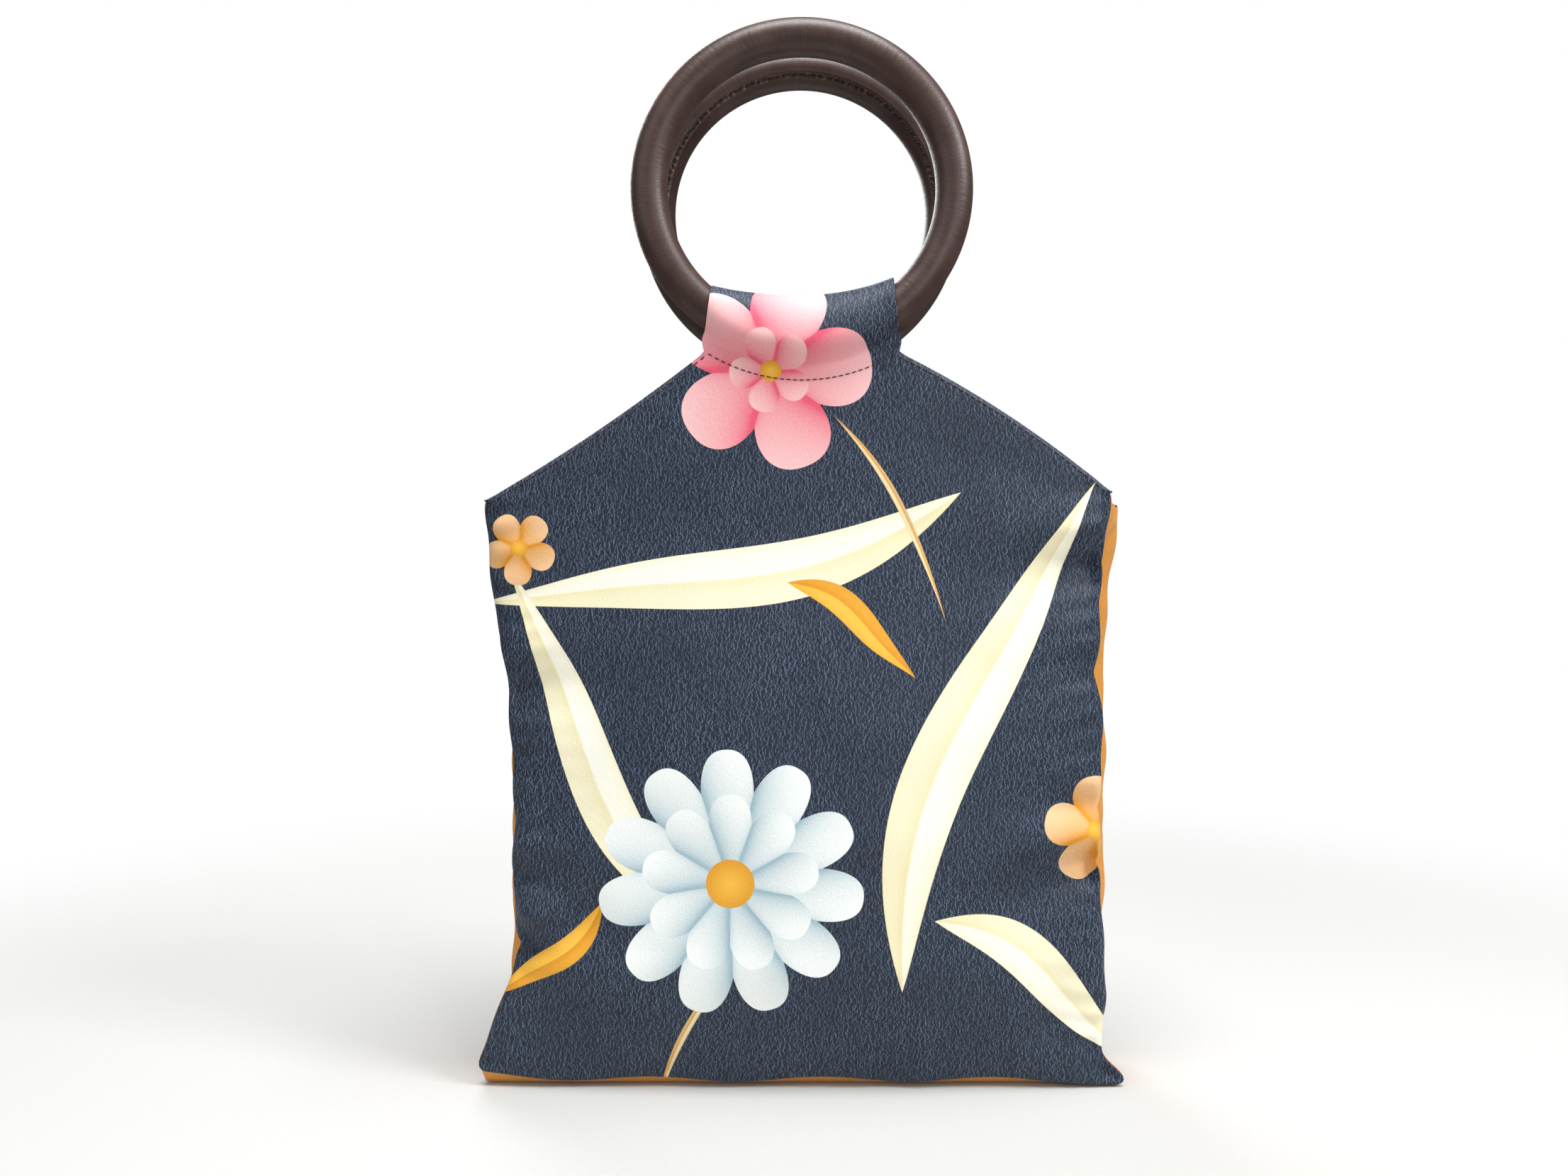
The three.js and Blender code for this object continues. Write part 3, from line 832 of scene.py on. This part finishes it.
class OBJECT_OT_handbag_stage(HandbagOperator, bpy.types.Operator):
    """Adds the pale floor, the lamps and the camera"""
    bl_idname = "object.handbag_stage"
    bl_label = "Stage"

    def build(self, sizes, colours):
        self.add_camera()
        self.add_floor()
        self.add_lamps()

    def add_camera(self):
        camera = bpy.data.cameras.new("camera")
        camera.sensor_width = CAMERA_SENSOR
        camera.lens = CAMERA_LENS
        obj = linked("camera", camera)
        obj.location = CAMERA_PLACE
        obj.rotation_euler = (math.radians(90), 0, 0)
        bpy.context.scene.camera = obj

    def add_floor(self):
        material = new_finish("white_paper", Roughness=0.9)
        place = object_place(material)
        fibres = speckle(place, 3, 3)
        paper = blended(fibres, linear("#BEBEBC"), linear("#BABAB8"))
        away = add_node(place.tree, "ShaderNodeVectorMath", {0: place}, "Value", operation="LENGTH")
        near, far = FLOOR_FADE
        fade = {"Value": away, "From Min": near, "From Max": far, "To Min": 1, "To Max": 0}
        fade = add_node(place.tree, "ShaderNodeMapRange", fade, interpolation_type="SMOOTHSTEP")
        surface(material, paper, fibres, 0.02, Alpha=fade)
        bm = bmesh.new()
        bmesh.ops.create_grid(bm, x_segments=1, y_segments=1, size=FLOOR_SIZE / 2 * MM)
        floor = finished(bm, "floor", material)

    def add_lamps(self):
        for name, place, size, power in LAMPS:
            light = bpy.data.lights.new(name, "AREA")
            light.shape = "RECTANGLE"
            light.size, light.size_y = size
            light.energy = power
            obj = linked(name, light)
            obj.location = place
            aim = Vector(LAMPS_AIM) - Vector(place)
            obj.rotation_euler = aim.to_track_quat("-Z", "Y").to_euler()
        self.add_world()

    def add_world(self):
        """Soft white light all round, and a plain white background for the camera."""
        world = bpy.data.worlds.new("studio")
        world.use_nodes = True
        tree = world.node_tree
        strength = maths("MAXIMUM", add_node(tree, "ShaderNodeLightPath", output="Is Camera Ray"), AMBIENT)
        background = tree.nodes["Background"]
        background.inputs["Color"].default_value = (1, 1, 1, 1)
        tree.links.new(strength.socket, background.inputs["Strength"])
        bpy.context.scene.world = world
        bpy.context.scene.view_settings.view_transform = "Standard"


def mouth_blend(obj):
    """Bakes the place of cloth by the mouth into its mesh."""
    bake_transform(obj)


def swing_blend(obj):
    """Bakes the place of cloth by the handle's fold line into its mesh."""
    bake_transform(obj)


def ply_sheet(name, side, flat_place, grid, under, inset, thickness, sizes, material):
    """One ply under the outer face, or the silk itself. flat_place gives its flat places."""
    def place(u, v):
        x, z = flat_place(side, u, v, inset)
        return on_face(side, x, z, sizes, under, shoulders=under == 0), (x, z)

    return sheet(name, grid, place, thickness, (0, side, 0), material)


def neck_place(side, u, w, inset):
    """Flat place in the neck, from the split up to the curved stitching."""
    level = lerp(SPLIT_HEIGHT + inset / SLOPE_COS, NECK_HEIGHT, w)
    x = u * (slope_half(side, hand_of(u), level) - inset * w)
    return x, lerp(SPLIT_HEIGHT, stitch_line(u * (NECK_HALF - inset)), w)


INTERLINING_GAP = 0.3  # from the silk to the interlining
LINING_GAPS = 0.9  # in all, from the silk to the lining
POCKET_GAPS = 1.2  # in all, from the silk to the pocket
SILK_GRID = (132, 140)  # columns and rows of a sheet
LOOP_GRID = (64, 60)
INTERLINING_GRID = (48, 50)
LINING_GRID = (60, 64)
NECK_GRID = (40, 10)
POCKET_GRID = (44, 40)
GUSSET_GRID = (420, 24)


def inner_plies(ply, grid, *cut):
    """The interlining or the lining of both sides, and of both necks. cut goes on to ply_sheet."""
    for side, name in NAMES.items():
        body = ply_sheet(f"{name}_{ply}_cloth", side, body_place, grid, *cut)
        mouth_blend(body)
        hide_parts(f"{name}_{ply}", f"{name}_yoke_{ply}")
        neck = ply_sheet(f"{name}_neck_{ply}", side, neck_place, NECK_GRID, *cut)
        swing_blend(neck)


class OBJECT_OT_handbag_silk(HandbagOperator, bpy.types.Operator):
    """Adds the printed silk of the front and the back"""
    bl_idname = "object.handbag_silk"
    bl_label = "Printed silk"

    def build(self, sizes, colours):
        for side, name in NAMES.items():
            material = printed_silk(side, sizes, colours)
            cloth = ply_sheet(
                f"{name}_cloth", side, body_place, SILK_GRID, 0, 0, sizes.silk, sizes, material,
            )
            mouth_blend(cloth)
            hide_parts(f"{name}_panel", f"{name}_yoke")
            loop = self.loop_cloth(f"{name}_loop_cloth", side, sizes, material)
            swing_blend(loop)
            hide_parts(f"{name}_loop")

    def loop_cloth(self, name, side, sizes, material):
        """The neck's silk, which folds over the ring and is sewn down behind."""
        def place(u, v):
            band = min(int(v * LOOP_BANDS), LOOP_BANDS - 1)
            share = v * LOOP_BANDS - band
            if band == 0:
                x, z = neck_place(side, u, share, 0)
                return on_face(side, x, z, sizes, shoulders=True), (x, z)
            return loop_point(side, u, band, share, sizes)

        return sheet(name, LOOP_GRID, place, sizes.silk, (0, side, 0), material)


LOOP_BANDS = 5
LOOP_FLAP = 7  # the loop's end lies this far below the stitching, inside
LOOP_SLACK = 0.45  # gap between the loop's silk and the tube
LOOP_BEHIND = 0.8  # the sewn plies behind the middle are thicker by this
LOOP_TOP = 39  # height of the loop over its stitching, at the middle
LOOP_RISE = {LEFT: 0.0021, RIGHT: 0.0041}  # how its top edge curves up to the corners
LOOP_NARROWS = {LEFT: 3.4, RIGHT: 2.6}  # its sides draw in by this towards the top
LOOP_NARROWED = 32  # above this height over the stitching
LOOP_HIP = (1.3, 5, 4)  # how far the sides stand out over the stitching, at what height, and the reach
LOOP_PEAK = 0.35  # how much more pointed than a half circle its top is, at the middle
LOOP_WRINKLES = (0.3, 11, 9)  # height, width and length
LEAVING = 6  # softness with which the cloth leaves the tube, in square millimetres


def hugging(flat, radius, below):
    """How far cloth stands out at a distance below a tube's middle, where it leaves the tube to lie flat."""
    tube = math.sqrt(max(radius ** 2 - below ** 2, 0))
    return (flat + tube + math.sqrt((flat - tube) ** 2 + LEAVING * clamp(below / radius))) / 2


def loop_point(side, u, band, share, sizes):
    """A point of the loop round the ring, and its spot on the flat cloth.
    Bands: 1 front of the tube, 2 over the top, 3 behind the tube, 4 the flap inside."""
    hand = hand_of(u)
    ring = ring_radius(sizes)
    centre = (RING_PLACE.z - STITCH_HEIGHT) / math.cos(RING_LEAN)
    x = u * NECK_HALF
    stitch = stitch_line(x) - STITCH_HEIGHT
    middle = centre - math.sqrt(ring ** 2 - x ** 2)
    top = LOOP_TOP + LOOP_RISE[hand] * x ** 2
    wide = sizes.tube / 2 + LOOP_SLACK + sizes.silk
    if band == 1:
        level = lerp(stitch, middle, share)
        out = hugging(PLIES_HALF, wide, math.hypot(x, centre - level) - ring)
    elif band == 2:
        turn = math.pi * share
        peak = 1 + LOOP_PEAK * (1 - u ** 2)
        level = lerp(middle, top, math.sin(turn))
        out = math.copysign(wide * abs(math.cos(turn)) ** peak, math.cos(turn))
    elif band == 3:
        level = lerp(middle, stitch, share)
        out = -hugging(PLIES_HALF + LOOP_BEHIND, wide, math.hypot(x, centre - level) - ring)
    else:
        level = stitch - LOOP_FLAP * share
        out = -PLIES_HALF - LOOP_BEHIND
    above = max(level - STITCH_SAG, 0)
    hip, place, reach = LOOP_HIP
    wider = hip * bump_at(above, place, reach) - LOOP_NARROWS[hand] * ease(above / LOOP_NARROWED)
    x *= 1 + wider / NECK_HALF
    height, width, length = LOOP_WRINKLES
    wrinkle = height * noise.noise(Vector((x / width, level / length, side * 5 + band // 3)))
    out += wrinkle * clamp(above / 6)
    z = STITCH_HEIGHT + level * math.cos(RING_LEAN) + out * math.sin(RING_LEAN)
    y = HALF_DEPTH + YOKE_PUFF - PLIES_HALF + out * math.cos(RING_LEAN) - level * math.sin(RING_LEAN)
    if band == 1:
        y = lerp(face(side, x, stitch_line(u * NECK_HALF), sizes, shoulders=False), y, ease(share * 4))
    spot = STITCH_HEIGHT + (level if share < 0.5 and band == 2 or band == 1 else 2 * top - level)
    return (x, side * y, z), (x, spot)


class OBJECT_OT_handbag_interlining(HandbagOperator, bpy.types.Operator):
    """Adds the interlining between silk and lining"""
    bl_idname = "object.handbag_interlining"
    bl_label = "Interlining"

    def build(self, sizes, colours):
        material = woven_cloth("woven_interlining", colours.interlining, 0.9, 0.95)
        under = sizes.silk + INTERLINING_GAP
        inner_plies("interlining", INTERLINING_GRID, under, 6, sizes.interlining, sizes, material)


class OBJECT_OT_handbag_lining(HandbagOperator, bpy.types.Operator):
    """Adds the lining of the panels, the yokes and the gusset"""
    bl_idname = "object.handbag_lining"
    bl_label = "Lining"

    def build(self, sizes, colours):
        material = woven_cloth("ochre_lining", colours.lining, 0.6, 0.7)
        under = sizes.silk + sizes.interlining + LINING_GAPS
        inner_plies("lining", LINING_GRID, under, 1.6, sizes.lining, sizes, material)
        inner = gusset_sheet("gusset_lining_cloth", sizes, 2.2, sizes.lining, material)
        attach(inner, "bag")
        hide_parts("gusset_lining")


# Gusset

BOTTOM_SHARE = 0.37  # of the strip's half length that lies on the floor
CORNER_SHARE = 0.39  # the strip has turned up the side by here


def seam_point(side, t):
    """A point of a panel's seam, the way out, and how far the seam has turned to the bottom.
    t runs from -1 at the left shoulder to 1 at the right one."""
    hand = hand_of(t)
    share = abs(t)
    edge = EDGES[side, hand]
    low = bottom_line(side, hand * edge.base)
    reach = edge_half(side, hand, low)
    if share < BOTTOM_SHARE:
        x = hand * reach * share / BOTTOM_SHARE
        return Vector((x, 0, bottom_line(side, x))), Vector((0, 0, -1)), 1
    if share < CORNER_SHARE:
        turn = (share - BOTTOM_SHARE) / (CORNER_SHARE - BOTTOM_SHARE) * math.pi / 2
        out = Vector((hand * math.sin(turn), 0, -math.cos(turn)))
        z = low + CORNER_RADIUS * (1 - math.cos(turn))
        return Vector((hand * edge_half(side, hand, z), 0, z)), out, 1 - turn / (math.pi / 2)
    z = lerp(low + CORNER_RADIUS, edge.shoulder_height - 1, (share - CORNER_SHARE) / (1 - CORNER_SHARE))
    return Vector((hand * edge_half(side, hand, z), 0, z)), Vector((hand, 0, 0)), 0


GUSSET_REACH = 420  # half the strip's length
FOLD_DEEPENS = (-14, 50)  # the height from which the side's fold deepens, and over what height
FOLD_OPENS = (238, 24)  # and the same for where it opens out towards the hem
FOLD_OPENED = 0.85  # share of the fold that is gone at the hem
GUSSET_GAP = 0.4  # from the silk's rounded seam to the strip's edge
GUSSET_INSET = 0.5  # the strip lies inside the seam line by this
CORNER_INSET = 2.4  # and by a quarter of this more in the middle of a corner
CREASE_BLUNT = 0.14  # share of the half width over which the fold's crease is round
CRUMPLES = ((2.0, 40, 1.4, 1.1, 3), (1.4, 88, -2.6, 2.2, 9))  # height, number, slant, width and seed
LEFT_PULL = 1.3  # how far the strip is drawn in between its seams
RIGHT_PULL = (1.8, 0.3)  # near the floor, and above
PULL_EASES = (60, 50)  # the height from which it changes, and over what height
FLAT_SEAM = (0.72, 0.28)  # share of the half width from which the strip lies flat, and what is left
HEM = (0.35, 2, 3)  # how thick the hem's ridge is, how far from the end, and the reach
FLOOR_GAP = 0.25  # under the strip where it lies flat on the floor


def gusset_point(t, b, under, sizes):
    """A point of the gusset: t runs along the strip and b across it, from front to back."""
    front, out, turned = seam_point(FRONT, t)
    back = seam_point(BACK, t)[0]
    point = front.lerp(back, (1 + b) / 2)
    half = HALF_DEPTH - sizes.seam_roll - GUSSET_GAP
    seam_inset = GUSSET_INSET + CORNER_INSET * turned * (1 - turned)
    middle = 1 - b * b
    upright = 1 - turned
    crease = max(1 - math.hypot(b, CREASE_BLUNT), 0) / (1 - CREASE_BLUNT)
    fold = sizes.side_fold * crease * risen(point.z, *FOLD_DEEPENS) * upright
    fold *= 1 - FOLD_OPENED * risen(point.z, *FOLD_OPENS)
    wrinkle = 0
    for height, pitch, slant, width, seed in CRUMPLES:
        wrinkle += height * noise.noise(Vector((t * pitch + b * slant, b * width, seed)))
    pulled = LEFT_PULL if t < 0 else lerp(*RIGHT_PULL, risen(point.z, *PULL_EASES))
    crumple = (wrinkle * middle ** 0.6 - pulled * middle) * upright
    flat = 1 - risen(abs(b), *FLAT_SEAM)
    ridge, hem_place, hem_reach = HEM
    hem = ridge * bump_at((1 - abs(t)) * GUSSET_REACH, hem_place, hem_reach)
    point.z -= (point.z - FLOOR_GAP) * flat * ease(1.6 * turned)
    point += out * (hem + crumple - fold - seam_inset - under)
    return Vector((point.x, b * half * (1 - 0.04 * under), point.z))


def gusset_sheet(name, sizes, under, thickness, material):
    """The strip from one shoulder down, along the bottom and up to the other."""
    def place(u, v):
        b = lerp(-1, 1, v)
        return gusset_point(u, b, under, sizes), (u * GUSSET_REACH, b * HALF_DEPTH)

    return sheet(name, GUSSET_GRID, place, thickness, (0, 0, -1), material)


class OBJECT_OT_handbag_gusset(HandbagOperator, bpy.types.Operator):
    """Adds the orange gusset"""
    bl_idname = "object.handbag_gusset"
    bl_label = "Gusset"

    def build(self, sizes, colours):
        cloth = gusset_sheet("gusset_cloth", sizes, 0, sizes.silk, plain_silk(colours))
        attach(cloth, "bag")
        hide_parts("gusset")


class OBJECT_OT_handbag_pocket(HandbagOperator, bpy.types.Operator):
    """Adds the patch pocket on the back lining"""
    bl_idname = "object.handbag_pocket"
    bl_label = "Inner pocket"

    def build(self, sizes, colours):
        material = woven_cloth("pocket_lining", colours.lining, 0.6, 0.7)
        low, high = node_box("inner_pocket")
        under = sizes.silk + sizes.interlining + sizes.lining + POCKET_GAPS
        hem = 12

        def place(u, v):
            x = lerp(low.x, high.x, (u + 1) / 2)
            z = lerp(low.z, high.z, v)
            slack = 1.2 * risen(z, low.z, high.z - low.z) * (1 - u * u)
            ridge = 0.35 * bump_at(z, high.z - hem, 1.5)
            return on_face(BACK, x, z, sizes, under + slack + ridge), (x, z)

        pocket = sheet("pocket_cloth", POCKET_GRID, place, sizes.lining, (0, -1, 0), material)
        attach(pocket, "bag")
        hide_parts("inner_pocket")


# Ring handles

SEAM_LIP = (0.38, 9, 5)  # height of a seam's lips, how far they lie from it in degrees, and the reach
SEAM_GROOVE = (0.5, 3.5)  # depth and reach
HOOP_INSET = 1.9  # the leather's thickness and a gap
SLEEVE_GRID = (72, 220)  # sections round the tube, and steps round the ring
HOOP_GRID = (32, 120)
WHIP_SLANT = math.radians(62)
WHIP_LIFT = 0.15


def ring_radius(sizes):
    """Radius of the circle that the middle of the tube runs along."""
    return (RING_DIAMETER - sizes.tube) / 2


def ring_matrix(side):
    """From a ring that lies flat round its middle to its place on the bag."""
    turn = Matrix.Rotation(math.radians(90) + side * RING_LEAN, 4, "X")
    return Matrix.Translation(Vector((0, side * RING_PLACE.y, RING_PLACE.z)) * MM) @ turn


def spun_ring(name, side, ring, section, grid, material):
    """Spins a closed section round the ring. section gives the tube's radius at an angle."""
    bm = bmesh.new()
    bmesh.ops.create_circle(bm, segments=grid[0], radius=1)
    for vert in bm.verts:
        angle = math.atan2(vert.co.y, vert.co.x)
        radius = section(angle)
        vert.co = Vector((ring - radius * math.cos(angle), 0, radius * math.sin(angle))) * MM
    bmesh.ops.spin(
        bm, geom=bm.verts[:] + bm.edges[:], cent=(0, 0, 0), axis=(0, 0, 1),
        angle=2 * math.pi, steps=grid[1], use_merge=True,
    )
    bmesh.ops.recalc_face_normals(bm, faces=bm.faces[:])
    cut = bm.loops.layers.uv.new("cut")

    def angles(point):
        out = point.xy.length / MM - ring
        return math.atan2(point.x, -point.y), math.atan2(point.z / MM, -out)

    def near(angle, middle):
        return middle + math.remainder(angle - middle, 2 * math.pi)

    for tube_face in bm.faces:
        middle = angles(tube_face.calc_center_median())
        for loop in tube_face.loops:
            around, over = angles(loop.vert.co)
            size = side * section(over)
            loop[cut].uv = Vector((near(around, middle[0]) * ring, near(over, middle[1]) * size)) * MM
    bmesh.ops.transform(bm, matrix=ring_matrix(side), verts=bm.verts[:])
    return finished(bm, name, material)


class OBJECT_OT_handbag_rings(HandbagOperator, bpy.types.Operator):
    """Adds the leather sleeves of the ring handles"""
    bl_idname = "object.handbag_rings"
    bl_label = "Ring leather"

    def build(self, sizes, colours):
        leather = ring_leather(colours, sizes)
        thread = sewing_thread("waxed_thread", toned(colours.leather, 1.3))
        tube = sizes.tube / 2
        ring = ring_radius(sizes)
        lip, lip_place, lip_reach = SEAM_LIP
        groove, groove_reach = SEAM_GROOVE

        for side, name in NAMES.items():
            def section(angle, seam=side * SEAM_TURN):
                """A round tube with a sewn seam: two lips and a groove."""
                over = math.degrees(math.remainder(angle - seam, 2 * math.pi))
                lips = lip * (bump_at(over, lip_place, lip_reach) + bump_at(over, -lip_place, lip_reach))
                return tube + lips - groove * bump_at(over, 0, groove_reach)

            sleeve = spun_ring(f"{name}_ring_sleeve", side, ring, section, SLEEVE_GRID, leather)
            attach(sleeve, f"{name}_ring")
            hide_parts(f"{name}_ring_leather")
            seam = self.seam_stitches(f"{name}_ring_stitches", side, ring, tube, sizes, thread)
            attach(seam, f"{name}_ring")

    def seam_stitches(self, name, side, ring, tube, sizes, material):
        """Whip stitches across the seam, all along the ring."""
        place = ring_matrix(side)
        turn = place.to_3x3()
        up = Vector((0, 0, side * math.sin(SEAM_TURN)))

        def line(t):
            angle = 2 * math.pi * t
            way = Vector((math.cos(angle), math.sin(angle), 0))
            out = up - way * math.cos(SEAM_TURN)
            return place.translation / MM + turn @ (way * ring + out * (tube + WHIP_LIFT)), turn @ out

        return stitches(name, [(line, 2 * math.pi * ring)], sizes, material, WHIP_SLANT)


class OBJECT_OT_handbag_hoops(HandbagOperator, bpy.types.Operator):
    """Adds the wooden hoops inside the leather"""
    bl_idname = "object.handbag_hoops"
    bl_label = "Hoops"

    def build(self, sizes, colours):
        wood = hoop_wood(colours)
        ring = ring_radius(sizes)
        radius = sizes.tube / 2 - HOOP_INSET
        for side, name in NAMES.items():
            hoop = spun_ring(f"{name}_ring_hoop", side, ring, lambda angle: radius, HOOP_GRID, wood)
            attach(hoop, f"{name}_ring")
            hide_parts(f"{name}_ring_core")


SLOPE_LENGTH = 1.2  # along a shoulder, for each millimetre across
ARC_LENGTH = 1.06  # along the curved stitching, for each millimetre across
STITCH_INSET = 2.4  # from a shoulder's edge
STITCH_STARTS = 3  # from a shoulder's outer corner
STITCH_ENDS = 0.5  # from its inner one
ARC_ENDS = 1.2  # from the sides of the neck
HEM_INSET = 3
HEM_SHARE = 0.93  # of the gusset's width that the hem's stitching crosses
POCKET_INSET = 2


class OBJECT_OT_handbag_stitching(HandbagOperator, bpy.types.Operator):
    """Adds the topstitching of the shoulders, the loops, the gusset and the pocket"""
    bl_idname = "object.handbag_stitching"
    bl_label = "Topstitching"

    def build(self, sizes, colours):
        dark = sewing_thread("dark_sewing_thread", colours.thread)
        orange = sewing_thread("orange_sewing_thread", colours.gusset_thread)
        for side, name in NAMES.items():
            body_lines = []
            neck_lines = []
            for hand in (LEFT, RIGHT):
                corner = EDGES[side, hand].shoulder - STITCH_STARTS
                split = slope_half(side, hand, SPLIT_HEIGHT + STITCH_INSET)
                body_lines.append(self.shoulder(side, hand, corner, split, sizes))
                neck_lines.append(self.shoulder(side, hand, split, NECK_HALF - STITCH_ENDS, sizes))
            neck_lines.append(self.loop_line(side, sizes))
            body = stitches(f"{name}_shoulder_stitches", body_lines, sizes, dark)
            mouth_blend(body)
            neck = stitches(f"{name}_neck_stitches", neck_lines, sizes, dark)
            swing_blend(neck)
        hems = stitches("gusset_hem_stitches", self.hem_lines(sizes), sizes, orange)
        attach(hems, "bag")
        pocket = stitches("pocket_stitches", self.pocket_lines(sizes), sizes, orange)
        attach(pocket, "bag")

    def shoulder(self, side, hand, outer, inner, sizes):
        def line(t):
            x = hand * lerp(outer, inner, t)
            z = shoulder_line(side, x) - STITCH_INSET
            return on_face(side, x, z, sizes, shoulders=True), (0, side, 0)

        return line, (outer - inner) * SLOPE_LENGTH

    def loop_line(self, side, sizes):
        def line(t):
            x = lerp(-NECK_HALF + ARC_ENDS, NECK_HALF - ARC_ENDS, t)
            z = stitch_line(x)
            return on_face(side, x, z, sizes), (0, side, 0)

        return line, 2 * NECK_HALF * ARC_LENGTH

    def hem_lines(self, sizes):
        lines = []
        for hand in (LEFT, RIGHT):
            def line(t, hand=hand):
                along = hand * (1 - HEM_INSET / GUSSET_REACH)
                return gusset_point(along, lerp(-HEM_SHARE, HEM_SHARE, t), 0, sizes), (hand, 0, 0)

            lines.append((line, 2 * HALF_DEPTH))
        return lines

    def pocket_lines(self, sizes):
        low, high = node_box("inner_pocket")
        under = sizes.silk + sizes.interlining + 2 * sizes.lining + POCKET_GAPS

        def route(start, end):
            def line(t):
                x, z = Vector(start).lerp(Vector(end), t)
                return on_face(BACK, x, z, sizes, under), (0, -1, 0)

            return line, math.dist(start, end)

        left, right = low.x + POCKET_INSET, high.x - POCKET_INSET
        foot, head = low.z + POCKET_INSET, high.z - POCKET_INSET / 2
        corners = ((left, head), (left, foot), (right, foot), (right, head))
        return [route(start, end) for start, end in zip(corners, corners[1:])]


class VIEW3D_PT_handbag(bpy.types.Panel):
    """Lists the sizes, the colours and the pieces."""
    bl_label = "Silk Handbag"
    bl_idname = "VIEW3D_PT_handbag"
    bl_space_type = "VIEW_3D"
    bl_region_type = "UI"
    bl_category = "Handbag"

    def draw(self, context):
        for group in (context.scene.handbag_sizes, context.scene.handbag_colours):
            column = self.layout.column(align=True)
            for name in group.__annotations__:
                column.prop(group, name)
        column = self.layout.column(align=True)
        for operator in OPERATORS:
            column.operator(operator.bl_idname)


OPERATORS = (
    OBJECT_OT_handbag_stage,
    OBJECT_OT_handbag_silk,
    OBJECT_OT_handbag_interlining,
    OBJECT_OT_handbag_lining,
    OBJECT_OT_handbag_gusset,
    OBJECT_OT_handbag_pocket,
    OBJECT_OT_handbag_rings,
    OBJECT_OT_handbag_hoops,
    OBJECT_OT_handbag_stitching,
)
CLASSES = (HandbagSizes, HandbagColours, *OPERATORS, VIEW3D_PT_handbag)


def register():
    for cls in CLASSES:
        bpy.utils.register_class(cls)
    bpy.types.Scene.handbag_sizes = PointerProperty(type=HandbagSizes)
    bpy.types.Scene.handbag_colours = PointerProperty(type=HandbagColours)


def unregister():
    del bpy.types.Scene.handbag_colours
    del bpy.types.Scene.handbag_sizes
    for cls in reversed(CLASSES):
        bpy.utils.unregister_class(cls)


def main():
    register()
    for operator in OPERATORS:
        category, name = operator.bl_idname.split(".")
        getattr(getattr(bpy.ops, category), name)()


if __name__ == "__main__":
    main()
